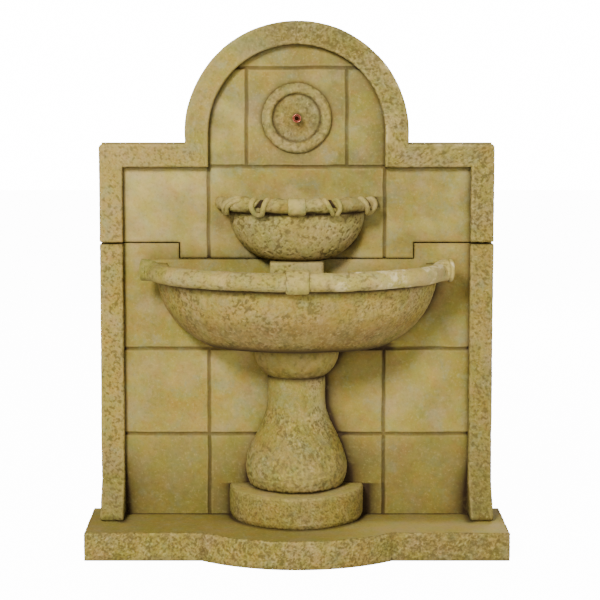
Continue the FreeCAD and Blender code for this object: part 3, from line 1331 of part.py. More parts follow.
def make_filter():
    """The slotted filter cover, which slides off along X, and the flow dial on its end."""
    left = VOLUTE_RIGHT
    right = "( pump_volute / 2 + pump_filter )"
    shell = rounded_along_x(pump_block(left, "pump_filter", "0", "FilterBlock"), "pump_round", "FilterShell")
    tools = [pump_block(left, "pump_filter - pump_wall", "pump_wall", "FilterHollow")]
    for number in range(int(NUMBER["slot_count"])):
        height = "%s + ( %d - ( slot_count - 1 ) / 2 ) * slot_pitch - slot_width / 2" % (PUMP_AXIS, number)
        tools.append(box("%s + slot_edge" % left, "- panel_thick - pump_back - pump_depth - pump_wall", height,
                         "pump_filter - slot_edge - pump_wall", "pump_depth + 2 * pump_wall", "slot_width",
                         "FilterSlot"))
    tools.append(rod("x", "%s - pump_wall" % right, PUMP_Y, PUMP_AXIS, "dial_hole", "pump_wall", "DialHole"))
    node("pump_filter_cover", cut(shell, tools, "FilterCover"))
    disc_left = right + " + dial_gap"
    collar_left = "( %s - pump_wall - dial_gap - dial_collar_thick )" % right
    disc = rod("x", disc_left, PUMP_Y, PUMP_AXIS, "dial_radius", "dial_thick", "DialDisc")
    stem = rod("x", collar_left, PUMP_Y, PUMP_AXIS, "dial_hole - shaft_play",
               "%s - %s + dial_thick" % (right, collar_left), "DialStem")
    collar = rod("x", collar_left, PUMP_Y, PUMP_AXIS, "dial_collar", "dial_collar_thick", "DialCollar")
    grip = box(disc_left, PUMP_Y + " - dial_grip / 2", PUMP_AXIS + " - dial_radius * 0.9",
               "dial_thick + dial_grip_proud", "dial_grip", "2 * dial_radius * 0.9", "DialGrip")
    node("pump_flow_dial", joined([disc, stem, collar, grip], "FlowDial"))


def make_pump_trim(motor_left):
    """The suction feet under the motor, and the gland that its cord leaves by."""
    feet = []
    for x in (motor_left + " + foot_inset", VOLUTE_LEFT + " - foot_inset"):
        for y in ("%s - pump_depth / 2 + foot_inset" % PUMP_Y, "%s + pump_depth / 2 - foot_inset" % PUMP_Y):
            foot = DOC.addObject("Part::Cone", "SuctionFoot")
            bind(foot, x=x, y=y, z=PUMP_LOW + " - foot_height", Radius1="foot_wide", Radius2="foot_narrow",
                 Height="foot_height")
            feet.append(foot)
    node("pump_feet", group(feet, "PumpFeet"))
    place = dict(x=motor_left + " + gland_inset", y=PUMP_Y)
    top = PUMP_LOW + " + pump_height"
    collar = rod("z", place["x"], place["y"], top, "gland_flange", "gland_flange_thick", "GlandFlange")
    sleeve = DOC.addObject("Part::Cone", "GlandSleeve")
    bind(sleeve, x=place["x"], y=place["y"], z=top, Radius1="gland_wide", Radius2="gland_narrow",
         Height="gland_length")
    hole = rod("z", place["x"], place["y"], top, "gland_bore", "gland_length", "GlandHole")
    node("pump_cord_gland", cut(joined([collar, sleeve]), [hole], "CordGland"))


# The drain: a sleeve in the basin's floor and the rubber stopper that lifts out of it.


def make_drain():
    place = dict(x="drain_side", y="- panel_thick - drain_out")
    sleeve = rod("z", place["x"], place["y"], "basin_low", "drain_radius + drain_wall", "basin_floor", "Sleeve")
    bore = DOC.addObject("Part::Cone", "SleeveBore")
    bind(bore, z="basin_low", Radius1="drain_radius - drain_taper", Radius2="drain_radius",
         Height="basin_floor", **place)
    node("drain_sleeve", cut(sleeve, [bore], "DrainSleeve"))
    plug = DOC.addObject("Part::Cone", "Plug")
    bind(plug, z="basin_low + stopper_short", Radius1="drain_radius - drain_taper - stopper_play",
         Radius2="drain_radius - stopper_play", Height="basin_floor - stopper_short", **place)
    head = rod("z", place["x"], place["y"], FLOOR + " + stopper_play",
               "drain_radius + drain_wall + stopper_lip", "stopper_head", "PlugHead")
    knob = rod("z", place["x"], place["y"], FLOOR, "knob_radius", "knob_height", "PlugKnob")
    node("drain_stopper", joined([plug, head, knob], "DrainStopper"))


# The fixings.


def make_dowels():
    for name, low in (
        ("base_dowels", "base_height - dowel_length / 2"),
        ("seam_dowels", "seam_height - dowel_length / 2"),
    ):
        pins = [
            rod("z", sign + " dowel_side", "- dowel_back", low, "dowel_radius", "dowel_length", "Dowel")
            for sign in ("-", "")
        ]
        node(name, group(pins, name.title().replace("_", "")))


def make_bolts(prefix, side, height, wall):
    """Through bolts from inside a bowl to counterbored nuts in the wall's back."""
    seat = "( panel_thick + %s )" % wall
    nut_face = "( counterbore_depth - plate_washer_thick - bolt_nut )"
    bolts, seals, nuts, washers = [], [], [], []
    for sign in ("-", ""):
        x = "%s %s" % (sign, side)
        shank = rod("-y", x, "- %s + bolt_past" % nut_face, height, "bolt_radius",
                    "%s + washer_thick - %s + bolt_past + bolt_head" % (seat, nut_face), "Shank")
        head = hexagon("-y", x, "- %s - washer_thick" % seat, height, "bolt_across", "bolt_head", "Head")
        bolts.append(joined([shank, head], "Bolt"))
        seal = rod("-y", x, "- " + seat, height, "washer_radius", "washer_thick", "Seal")
        seal_hole = rod("-y", x, "- " + seat, height, "bolt_radius + screw_play", "washer_thick", "SealHole")
        seals.append(cut(seal, [seal_hole], "SealWasher"))
        plate_back = "- counterbore_depth + plate_washer_thick"
        plate = rod("-y", x, plate_back, height, "plate_washer", "plate_washer_thick", "Plate")
        plate_hole = rod("-y", x, plate_back, height, "bolt_radius + screw_play", "plate_washer_thick", "PlateHole")
        washers.append(cut(plate, [plate_hole], "SteelWasher"))
        nut = hexagon("-y", x, "- " + nut_face, height, "bolt_across", "bolt_nut", "Nut")
        nut_hole = rod("-y", x, "- " + nut_face, height, "bolt_radius + spigot_play", "bolt_nut", "NutHole")
        nuts.append(cut(nut, [nut_hole], "BoltNut"))
    node(prefix + "_fixing_bolts", group(bolts))
    node(prefix + "_seal_washers", group(seals))
    node(prefix + "_steel_washers", group(washers))
    node(prefix + "_bolt_nuts", group(nuts))


def plate_screws(name, spots, seat, thick):
    screws = []
    for x, z in spots:
        under = "( %s - %s )" % (seat, thick)
        shank = rod("-y", x, "- " + under, z, "screw_radius", "screw_length + %s - screw_play" % thick, "ScrewShank")
        head = rod("-y", x, "- %s + screw_head_thick" % under, z, "screw_head", "screw_head_thick", "ScrewHead")
        screws.append(joined([shank, head], "Screw"))
    node(name, group(screws))


def make_plates():
    ties = []
    for number, sign in enumerate(("-", "")):
        plate = box("%s tie_side - tie_width / 2" % sign, "- tie_recess", "seam_height - tie_length / 2",
                    "tie_width", "tie_thick", "tie_length", "TiePlate")
        holes = [
            rod("-y", x, "- tie_recess + tie_thick", z, "screw_radius + screw_play", "tie_thick", "PlateHole")
            for x, z in TIE_SPOTS[4 * number:4 * number + 4]
        ]
        ties.append(cut(plate, holes, "TiePlateDrilled"))
    node("seam_tie_plates", group(ties))
    plate_screws("tie_plate_screws", TIE_SPOTS, "tie_recess", "tie_thick")
    hangers = []
    entry = "( hanger_height - keyhole_rise / 2 )"
    for number, sign in enumerate(("-", "")):
        x = "%s hanger_side" % sign
        back = "- hanger_recess + hanger_thick"
        plate = box(x + " - hanger_width / 2", "- hanger_recess", "hanger_height - hanger_length / 2",
                    "hanger_width", "hanger_thick", "hanger_length", "HangerPlate")
        holes = [
            rod("-y", a, back, b, "screw_radius + screw_play", "hanger_thick", "PlateHole")
            for a, b in HANGER_SPOTS[4 * number:4 * number + 4]
        ]
        holes.append(rod("-y", x, back, entry, "keyhole_radius", "hanger_thick", "KeyholeEntry"))
        holes.append(box(x + " - keyhole_slot", "- hanger_recess", entry, "2 * keyhole_slot", "hanger_thick",
                         "keyhole_rise", "KeyholeSlot"))
        holes.append(rod("-y", x, back, entry + " + keyhole_rise", "keyhole_slot", "hanger_thick", "KeyholeEnd"))
        hangers.append(cut(plate, holes, "HangerPlateCut"))
    node("wall_hanger_plates", group(hangers))
    plate_screws("hanger_plate_screws", HANGER_SPOTS, "hanger_recess", "hanger_thick")


def main():
    make_base_slab()
    make_lower_wall()
    make_upper_wall()
    make_rosette()
    make_pedestal()
    make_riser()
    make_basin_and_bowl()
    make_spout()
    make_hose()
    make_clips()
    make_pump()
    make_drain()
    make_dowels()
    make_bolts("bowl", "bowl_bolt_side", "bowl_bolt_height", "bowl_wall")
    make_bolts("basin", "basin_bolt_side", "basin_bolt_height", "basin_back")
    make_plates()
    DOC.recompute()
    for thing in DOC.Objects:
        if "Invalid" in thing.State or "Error" in thing.State:
            raise RuntimeError("%s (%s) failed: %s" % (thing.Name, thing.Label, thing.State))
    for thing in NODES:
        shape = thing.Shape
        if shape.isNull() or not shape.isValid():
            raise RuntimeError("%s has no valid shape" % thing.Label)
        if not shape.Solids or min(s.Volume for s in shape.Solids) <= 0:
            raise RuntimeError("%s holds no solid" % thing.Label)
    os.makedirs("parts", exist_ok=True)
    for thing in NODES:
        thing.Shape.exportStep("parts/%s.step" % thing.Label)
    print("wrote %d sub-parts" % len(NODES))


main()
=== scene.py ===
import json
import math

import bmesh
import bpy
import numpy as np
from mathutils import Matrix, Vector


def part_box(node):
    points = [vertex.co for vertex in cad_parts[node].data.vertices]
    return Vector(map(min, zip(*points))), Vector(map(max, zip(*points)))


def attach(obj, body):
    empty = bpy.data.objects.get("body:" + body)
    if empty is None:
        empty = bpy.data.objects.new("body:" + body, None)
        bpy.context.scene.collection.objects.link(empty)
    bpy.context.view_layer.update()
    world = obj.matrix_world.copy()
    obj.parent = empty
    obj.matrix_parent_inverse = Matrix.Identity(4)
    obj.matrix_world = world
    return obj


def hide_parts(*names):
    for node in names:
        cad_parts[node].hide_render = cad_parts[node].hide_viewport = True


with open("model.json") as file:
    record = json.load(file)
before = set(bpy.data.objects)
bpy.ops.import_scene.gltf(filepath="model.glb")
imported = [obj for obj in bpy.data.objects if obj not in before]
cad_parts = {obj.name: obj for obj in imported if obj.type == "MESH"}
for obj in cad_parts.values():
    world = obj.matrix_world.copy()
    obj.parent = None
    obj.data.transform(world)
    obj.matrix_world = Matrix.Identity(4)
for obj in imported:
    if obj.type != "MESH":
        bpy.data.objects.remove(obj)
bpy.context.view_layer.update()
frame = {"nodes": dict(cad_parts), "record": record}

# Places, in metres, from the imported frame.
BASE_LOW, BASE_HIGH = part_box("base_slab")
LOWER_LOW, LOWER_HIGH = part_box("lower_wall_panel")
UPPER_LOW, UPPER_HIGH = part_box("upper_wall_panel")
DRUM_LOW, DRUM_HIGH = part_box("pedestal_drum")
SHAFT_LOW, SHAFT_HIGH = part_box("pedestal_shaft")
CAPITAL_LOW, CAPITAL_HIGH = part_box("pedestal_capital")
BASIN_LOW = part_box("lower_basin")[0]
BOWL_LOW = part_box("upper_bowl")[0]
RISER_LOW, RISER_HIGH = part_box("bowl_riser")
ROSETTE_LOW, ROSETTE_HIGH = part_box("spout_rosette")
SLEEVE_LOW, SLEEVE_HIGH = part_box("drain_sleeve")
TUBE_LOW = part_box("spout_tube")[0]
SPOUT_LEVEL = (ROSETTE_LOW.z + ROSETTE_HIGH.z) / 2

# The wall: depths, half widths and heights.
TILE_FACE = 0.064
FRAME_WIDTH = 0.070
FRAME_PROUD = 0.031
FRAME_ROUND = 0.008
CORNER_ROUND = 0.014
END_ROUND = 0.007
WALL_HALF = LOWER_HIGH.x
INNER_HALF = WALL_HALF - FRAME_WIDTH
SEAM = LOWER_HIGH.z
KEY_HALF = 0.352
KEY_LOW = UPPER_LOW.z
SHOULDER = 1.212
ARCH_OUTER = 0.334
ARCH_INNER = ARCH_OUTER - FRAME_WIDTH
ARCH_CENTRE = UPPER_HIGH.z - ARCH_OUTER
FOOT_TOP, FOOT_TOE = 0.194, 0.097
TILE_SIDE, SQUARE_HALF = 0.264, 0.150
LOW_JOINT, MID_JOINT, SHOULDER_JOINT, HIGH_JOINT = 0.330, 0.592, SHOULDER - FRAME_WIDTH, 1.437
JOINT_HALF, JOINT_DEPTH, JOINT_OPEN = 0.0066, 0.0046, 0.0018

# The base slab: half the bow's width, the straight front's distance from the back, and the edge's rounding.
BOW_HALF, BASE_FRONT, BASE_ROUND = 0.278, 0.292, 0.0055

# The lower basin: its rim, its wall, its back, the line of its roll and the flanges at its ends.
# ROLL_LAP is how far a wall runs up into its roll.
ROLL_LAP = 0.005
BASIN_RIM, BASIN_ROLL = 0.837, 0.027
BASIN_TOP = BASIN_RIM - BASIN_ROLL + ROLL_LAP
BASIN_HALF, BASIN_FOOT, BASIN_SQUASH = 0.422, 0.232, 0.785
BASIN_KNEE, BASIN_KNEE_RISE = 0.382, 0.091
BASIN_WALL, BASIN_BACK, BASIN_BACK_TOP = 0.032, 0.028, 0.800
BASIN_REACH, BASIN_TURN, BASIN_TURN_OUT = 0.350, 0.417, 0.1195
BASIN_ARCS, BASIN_CURL, BASIN_CURL_ANGLE, BASIN_TAIL = (38, 32), 0.034, 58, 0.005
FLANGE_THICK, FLANGE_LIFT, FLARE, FLARE_END, FLARE_RADIUS = 0.012, 0.006, 0.062, 0.015, 0.0325
EAR_START, EAR_TOP = 0.351, 0.862

# The upper bowl: its rim, its wall and the line of its roll.
BOWL_RIM, BOWL_ROLL = 1.0335, 0.020
BOWL_TOP = BOWL_RIM - BOWL_ROLL + ROLL_LAP
BOWL_HALF, BOWL_FOOT, BOWL_SQUASH, BOWL_FOOT_SQUASH = 0.203, 0.096, 0.66, 0.92
BOWL_KNEE, BOWL_KNEE_RISE = 0.178, 0.061
BOWL_FLOOR = BOWL_LOW.z + 0.030
BOWL_WALL = 0.024
BOWL_REACH, BOWL_SPREAD, BOWL_ARCS, BOWL_TAIL = 0.146, 0.224, (32, 58), 0.004

# Steps between points, and how far the tiles run on under the frame.
FINE, TILE_STEP, ARCH_STEP, UNDER_FRAME = 0.0028, 0.0042, 0.0036, 0.004
# A pattern's height where the skin is untouched, the chisel depth that counts as full, how far a roll or a ribbon
# stays off the wall, and a distance that counts as far.
SKIN, FULL_CHISEL, OFF_WALL, FAR = 0.6, 0.0016, 0.0005, 1.0


# Noise: everything that looks weathered or hand made comes from these.


# Large primes and the bits that are kept.
PRIMES, SEED_STEP, MIXER, KEPT = (73856093, 19349663, 83492791), 2654435, 1274126177, 0xFFFFFF


def hashed(cell, seed):
    """A number from 0 to 1 for each point of a whole-number lattice: its three numbers are multiplied by large primes,
    mixed bit by bit and scaled."""
    one, two, three = (cell[..., k] * prime for k, prime in enumerate(PRIMES))
    mixed = one ^ two ^ three ^ (seed * SEED_STEP)
    mixed = (mixed ^ (mixed >> 13)) * MIXER
    mixed = (mixed ^ (mixed >> 16)) & KEPT
    return mixed / KEPT


# The noise's lattice is turned by 37 degrees about y and 24 about x, so that it follows no edge of the object.
TURN_Y, TURN_X = math.radians(37), math.radians(24)
LATTICE = np.array([(math.cos(TURN_Y), 0, math.sin(TURN_Y)), (0, 1, 0), (-math.sin(TURN_Y), 0, math.cos(TURN_Y))]) @ (
    np.array([(1, 0, 0), (0, math.cos(TURN_X), -math.sin(TURN_X)), (0, math.sin(TURN_X), math.cos(TURN_X))]))


def noise(points, size, seed=0):
    """Smooth noise from 0 to 1: the lattice numbers at the eight corners of each point's cell, blended by the curve
    6p^5 - 15p^4 + 10p^3 along each axis. size is the cell's side."""
    place = points @ LATTICE / size + seed * 7.31
    corner = np.floor(place).astype(np.int64)
    part = place - corner
    ease = part ** 3 * (part * (part * 6 - 15) + 10)
    total = np.zeros(points.shape[:-1])
    for dx, dy, dz in np.ndindex(2, 2, 2):
        weight = np.abs(1 - dx - ease[..., 0]) * np.abs(1 - dy - ease[..., 1]) * np.abs(1 - dz - ease[..., 2])
        total += weight * hashed(corner + np.array((dx, dy, dz)), seed)
    return total


def cloudy(points, size, seed=0, layers=3):
    """Several noises added, each half as wide and half as strong as the one before, scaled to about 0 to 1."""
    total, weight = np.zeros(points.shape[:-1]), 0.0
    for layer in range(layers):
        share = 0.5 ** layer
        total += share * noise(points, size * share, seed + 11 * layer)
        weight += share
    return total / weight


def smooth(low, high, value):
    """0 below low, 1 above high, and the curve 3t^2 - 2t^3 between."""
    t = np.clip((value - low) / (high - low), 0, 1)
    return t * t * (3 - 2 * t)


def near(value, place, width):
    """1 at a place, falling to 0 as the bell curve exp(-(distance / width)^2)."""
    return np.exp(-(((value - place) / width) ** 2))


def fading(distance, width):
    """1 at a place and before it, and exp(-distance / width) beyond."""
    return np.exp(-np.clip(distance, 0, None) / width)


def worms(points, size, seed):
    """Crooked ridges from 0 to 1, as in vermiculated stone: high on the lines where a bent noise passes its middle
    value, in two sizes, over a finer crumbling."""
    bend = np.stack([noise(points, size * 1.3, seed + k) for k in (1, 2, 3)], axis=-1) - 0.5
    bent_points = points + bend * size * 1.5
    coarse = np.clip(1 - np.abs(noise(bent_points, size, seed + 4) - 0.5) / 0.19, 0, 1)
    fine = np.clip(1 - np.abs(noise(bent_points, size * 0.6, seed + 5) - 0.5) / 0.24, 0, 1)
    return np.clip(0.52 * coarse + 0.34 * fine + 0.7 * (noise(points, size * 0.5, seed + 6) - 0.35), 0, 1)


def pitted(points, size, seed):
    """A surface at about 0.6 with pits down to 0 and crumbs up to 1: pits lie where either of two noises is high, and
    come in patches."""
    patch = smooth(0.25, 0.65, noise(points, size * 6, seed + 1))
    wide = smooth(0.60, 0.84, noise(points, size, seed + 2))
    small = smooth(0.60, 0.82, noise(points, size * 0.6, seed + 3))
    crumbs = cloudy(points, size, seed + 4, 2)
    return np.clip(0.30 + 0.70 * crumbs - (0.25 + 0.55 * patch) * np.maximum(wide, 0.8 * small), 0, 1)


def crumbly(points, size, seed):
    """A rough grain from 0 to 1: three layers of noise, stretched about their middle, with a few pits."""
    grain = 0.5 + 1.35 * (cloudy(points, size, seed) - 0.5)
    return np.clip(grain - 0.35 * smooth(0.60, 0.85, noise(points, size * 0.7, seed + 7)), 0, 1)


def speckled(points, size, seed):
    """A flat skin with many small dark dots: pits lie wherever a noise is above its middle, over a faint grain."""
    wide = smooth(0.54, 0.76, noise(points, size, seed))
    small = smooth(0.58, 0.80, noise(points, size * 0.6, seed + 1))
    return np.clip(0.48 + 0.40 * cloudy(points, size * 2, seed + 2) - 0.66 * np.maximum(wide, 0.7 * small), 0, 1)


def patchy(points, size, seed):
    """Crooked ridges that are faint in some patches: their height above the skin is scaled by a wide noise, eased."""
    patch = smooth(0.30, 0.65, noise(points, size * 5, seed + 9))
    return SKIN + (worms(points, size, seed) - SKIN) * (0.5 + 0.6 * patch)


# Places and directions.


def joined(*coordinates):
    """Places from their coordinates, each of them a number or a table of numbers."""
    return np.stack(np.broadcast_arrays(*coordinates), axis=-1)


def unit(vectors):
    """Vectors scaled to a length of 1."""
    return vectors / np.maximum(np.linalg.norm(vectors, axis=-1, keepdims=True), 1e-12)


def whole_turn(count):
    """Angles that step evenly round a circle."""
    return np.linspace(0, 2 * math.pi, count, endpoint=False)


def on_circle(turn):
    """Places on a circle of radius 1, the cosines and sines of angles."""
    return joined(np.cos(turn), np.sin(turn))


# Meshes from grids of points.


def surface_normals(points, wrap):
    """The normal at each point of a grid: the cross product of the differences along its two directions, scaled to 1.
    wrap says that the second direction closes on itself."""
    along_rows = np.gradient(points, axis=0)
    if wrap:
        across = (np.roll(points, -1, axis=1) - np.roll(points, 1, axis=1)) / 2
    else:
        across = np.gradient(points, axis=1)
    return unit(np.cross(along_rows, across))


def grid_faces(rows, columns, wrap):
    """The four corners of each face of a grid, as numbers of points counted row by row."""
    first = np.arange(rows - 1)[:, None] * columns
    steps = np.arange(columns if wrap else columns - 1)[None, :]
    after = (steps + 1) % columns
    corners = (first + steps, first + columns + steps, first + columns + after, first + after)
    return np.stack(np.broadcast_arrays(*corners), axis=-1).reshape(-1, 4)


def faces_out(points, faces):
    """Whether a closed mesh has a positive volume, the sum over its faces of a corner's dot product with the cross
    product of the next two."""
    a, b, c, d = (points[faces[:, k]] for k in range(4))
    return np.einsum("ij,ij->", a, np.cross(b, c)) + np.einsum("ij,ij->", a, np.cross(c, d)) > 0


def new_object(name, data):
    """An object in the scene."""
    made = bpy.data.objects.new(name, data)
    bpy.context.scene.collection.objects.link(made)
    return made


def on_fountain(made, node):
    """Let a piece ride on the fountain, and stand for a CAD node if one is given."""
    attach(made, "fountain")
    if node:
        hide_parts(node)


def piece(name, points, faces, ends, marks, material):
    """A smooth mesh. ends are faces with many corners, and marks are numbers kept at each point for the material to
    read."""
    mesh = bpy.data.meshes.new(name)
    loops = np.concatenate([faces.reshape(-1), *ends])
    sizes = np.concatenate([np.full(len(faces), 4), [len(end) for end in ends]]).astype(np.int32)
    mesh.vertices.add(len(points))
    mesh.vertices.foreach_set("co", points.astype(np.float32).reshape(-1))
    mesh.loops.add(len(loops))
    mesh.loops.foreach_set("vertex_index", loops.astype(np.int32))
    mesh.polygons.add(len(sizes))
    mesh.polygons.foreach_set("loop_start", np.concatenate([[0], np.cumsum(sizes)[:-1]]).astype(np.int32))
    mesh.polygons.foreach_set("use_smooth", np.ones(len(sizes), bool))
    mesh.update(calc_edges=True)
    for mark, values in marks.items():
        mesh.attributes.new(mark, "FLOAT", "POINT").data.foreach_set("value", values.astype(np.float32).reshape(-1))
    mesh.materials.append(material)
    return new_object(name, mesh)


def casting(name, rings, node, pattern=crumbly, size=0.012, chisel=0.0, swell=0.0008, grime=0.0, worn=0.0, moss=0.0,
            tone=0.0, rust=0.0, wrap=True, caps=True, hold=1.0, seed=0, front=None):
    """A stone piece from rings of points. Each point moves along its normal by the pattern's height above the skin,
    times the chisel depth, and by a wide low swell. hold is 1 where a point may move and 0 where it meets another
    piece. front is the way that an open sheet faces. A mark, such as grime, may be a function of the rings."""
    rings = np.asarray(rings, float)
    rows, columns = rings.shape[:2]
    normal = surface_normals(rings, wrap)
    faces = grid_faces(rows, columns, wrap)
    flat = rings.reshape(-1, 3)
    if front is None:
        right = faces_out(flat - flat.mean(axis=0), faces)
    else:
        right = float((normal * np.asarray(front)).sum()) > 0
    if not right:
        faces, normal = faces[:, ::-1], -normal
    depth, grime, worn, moss, tone, rust, hold = (
        np.broadcast_to(values(rings) if callable(values) else values, (rows, columns))
        for values in (chisel, grime, worn, moss, tone, rust, hold))
    relief = pattern(rings, size, seed) if np.max(depth) > 0 else np.full((rows, columns), 0.5)
    lumps = cloudy(rings, 0.09, seed + 20) - 0.5
    made = rings + normal * (hold * (depth * (relief - SKIN) + swell * 2 * lumps))[..., None]
    ends = []
    if wrap and caps:
        head, tail = np.arange(columns), (rows - 1) * columns + np.arange(columns)
        ends = [head, tail[::-1]] if right else [head[::-1], tail]
    strength = np.clip(depth / FULL_CHISEL, 0, 1)
    # The dark mark holds real grime and painted shade alike: contact shadows, creases, corners and undersides.
    marks = {"relief": 0.5 + (relief - 0.5) * strength, "grime": np.clip(grime, 0, 1), "worn": np.clip(worn, 0, 1),
             "moss": np.clip(moss, 0, 1), "tone": tone, "rust": np.clip(rust, 0, 1), "chiselled": strength}
    on_fountain(piece(name, made.reshape(-1, 3), faces, ends, marks, STONE), node)


# Lines and profiles.


def spaced(low, high, step, joints=(), fine=0.0012, reach=0.009):
    """Places from low to high, a step apart, and closer near each joint."""
    places = [np.arange(low, high, step), [high]]
    for joint in joints:
        places.append(np.arange(max(joint - reach, low), min(joint + reach, high), fine))
    places = np.sort(np.concatenate(places))
    return places[np.concatenate([[True], np.diff(places) > fine * 0.5])]


def stepped(corners, step):
    """A line through corners, cut into steps of about one length."""
    corners = np.asarray(corners, float)
    out = [corners[:1]]
    for a, b in zip(corners[:-1], corners[1:]):
        count = max(int(math.ceil(np.linalg.norm(b - a) / step)), 1)
        out.append(a + (b - a) * np.arange(1, count + 1)[:, None] / count)
    return np.concatenate(out)


def bent(corners, radii, step):
    """A line through corners whose turns are arcs: at each corner the line leaves its first side at the tangent
    length, the radius over the tangent of half the corner's angle, and joins the second along a circle."""
    corners = [np.asarray(c, float) for c in corners]
    out = [corners[0]]
    for before, corner, after, radius in zip(corners[:-2], corners[1:-1], corners[2:], radii):
        if radius <= 0:
            out.append(corner)
            continue
        one, two = unit(before - corner), unit(after - corner)
        half = math.acos(np.clip(one @ two, -1, 1)) / 2
        tangent = radius / math.tan(half)
        centre = corner + unit(one + two) * radius / math.sin(half)
        start, stop = corner + one * tangent - centre, corner + two * tangent - centre
        turn = math.pi - 2 * half
        count = max(int(math.ceil(radius * turn / step)), 4)
        for share in np.arange(count + 1) / count:
            spot = (math.sin((1 - share) * turn) * start + math.sin(share * turn) * stop) / math.sin(turn)
            out.append(centre + spot)
    out.append(corners[-1])
    return stepped(out, step)


def bowed(start, middle, stop, step):
    """The arc of a circle through three places, cut into steps."""
    a, b, c = (np.asarray(p, float) for p in (start, middle, stop))
    centre = np.linalg.solve(2 * np.array([b - a, c - a]), [b @ b - a @ a, c @ c - a @ a])
    radius = np.linalg.norm(a - centre)
    first, last = (math.atan2(*(p - centre)[::-1]) for p in (a, c))
    turn = np.linspace(first, last, max(int(abs(last - first) * radius / step), 3))
    return centre + radius * on_circle(turn)


def flowing(points, count):
    """A smooth line through points: Catmull and Rom's cubic between each pair, from the points on both sides."""
    points = np.asarray(points, float)
    points = np.concatenate([2 * points[:1] - points[1:2], points, 2 * points[-1:] - points[-2:-1]])
    spot = np.linspace(0, len(points) - 3, count)
    number = np.clip(spot.astype(int), 0, len(points) - 4)
    t = (spot - number)[:, None]
    a, b, c, d = (points[number + k] for k in range(4))
    return 0.5 * (2 * b + (c - a) * t + (2 * a - 5 * b + 4 * c - d) * t ** 2 + (3 * b - a - 3 * c + d) * t ** 3)


# Materials.


def shader_node(tree, kind, **settings):
    """A new node. Settings that start with in_ go to its sockets, the others to the node itself."""
    made = tree.nodes.new(kind)
    for key, value in settings.items():
        if key.startswith("in_"):
            made.inputs[key[3:].replace("_", " ")].default_value = value
        else:
            setattr(made, key, value)
    return made


def noise_of(tree, place, scale, detail=3.0, roughness=0.55, distortion=0.0):
    """A noise texture's value at a place."""
    made = shader_node(tree, "ShaderNodeTexNoise", in_Scale=scale, in_Detail=detail, in_Roughness=roughness,
                       in_Distortion=distortion)
    tree.links.new(place, made.inputs["Vector"])
    return made.outputs["Fac"]


def ramp_of(tree, value, low, high, top=1.0, kind="SMOOTHSTEP"):
    """A value eased, or for LINEAR led straight, from 0 at low to top at high."""
    made = shader_node(tree, "ShaderNodeMapRange", interpolation_type=kind)
    made.inputs["From Min"].default_value = low
    made.inputs["From Max"].default_value = high
    made.inputs["To Max"].default_value = top
    tree.links.new(value, made.inputs["Value"])
    return made.outputs["Result"]


def sum_of(tree, operation, *values):
    """The outcome of a sum. Each value is a socket or a number."""
    made = shader_node(tree, "ShaderNodeMath", operation=operation)
    for place, value in zip(made.inputs, values):
        if isinstance(value, (int, float)):
            place.default_value = value
        else:
            tree.links.new(value, place)
    return made.outputs[0]


def blend_of(tree, share, first, second):
    """Two colours mixed by a share. Each is a socket or a colour."""
    made = shader_node(tree, "ShaderNodeMix", data_type="RGBA")
    for place, value in ((0, share), (6, first), (7, second)):
        if isinstance(value, (int, float)):
            made.inputs[place].default_value = value
        elif isinstance(value, tuple):
            made.inputs[place].default_value = (*value, 1)
        else:
            tree.links.new(value, made.inputs[place])
    return made.outputs[2]


def tinted(tree, colour, share, first, second):
    """A colour times a tint that a share mixes from two."""
    made = shader_node(tree, "ShaderNodeMix", data_type="RGBA", blend_type="MULTIPLY")
    made.inputs[0].default_value = 1.0
    tree.links.new(colour, made.inputs[6])
    tree.links.new(blend_of(tree, share, first, second), made.inputs[7])
    return made.outputs[2]


def new_group(name, takes, gives):
    """A node group, and the nodes inside it that take and give its values."""
    group = bpy.data.node_groups.new(name, "ShaderNodeTree")
    for label, kind in takes:
        group.interface.new_socket(label, in_out="INPUT", socket_type=kind)
    for label, kind in gives:
        group.interface.new_socket(label, in_out="OUTPUT", socket_type=kind)
    return group, group.nodes.new("NodeGroupInput"), group.nodes.new("NodeGroupOutput")


# The stone's colours, and the tints that shift them.
TAN = (0.355, 0.250, 0.060)
OLIVE = (0.255, 0.200, 0.038)
PALE = (0.515, 0.408, 0.146)
BLUSH = (0.410, 0.310, 0.130)
GREY = (0.270, 0.255, 0.105)
RUST = (0.310, 0.150, 0.030)
PIT = (0.108, 0.080, 0.020)
# The darkest brown, laid on by the dark mark: the colour of real grime and also of painted shade in creases, corners
# and under pieces.
DIRT_AND_SHADE = (0.034, 0.019, 0.006)
BLEACHED = (0.680, 0.580, 0.310)
MOSS = (0.200, 0.190, 0.035)
YELLOWER, GREYER = (1.01, 1.01, 0.78), (0.98, 0.99, 1.17)
GREENER, REDDER = (0.94, 1.01, 0.95), (1.05, 0.985, 1.02)
PLAIN, WASHED = (1.0, 1.0, 1.0), (0.985, 1.015, 1.16)
MARKS = ("relief", "grime", "worn", "moss", "tone", "rust", "chiselled")
# The stone's noises, from clouds to dots: scale, detail, roughness and distortion.
STONE_NOISES = ((3.1, 3, 0.6), (9.0, 4, 0.62, 0.3), (13.0, 4, 0.6), (18.0, 4, 0.6), (24.0, 5, 0.68, 0.4),
                (130.0, 3, 0.7), (175.0, 1, 0.5), (360.0, 2, 0.7))


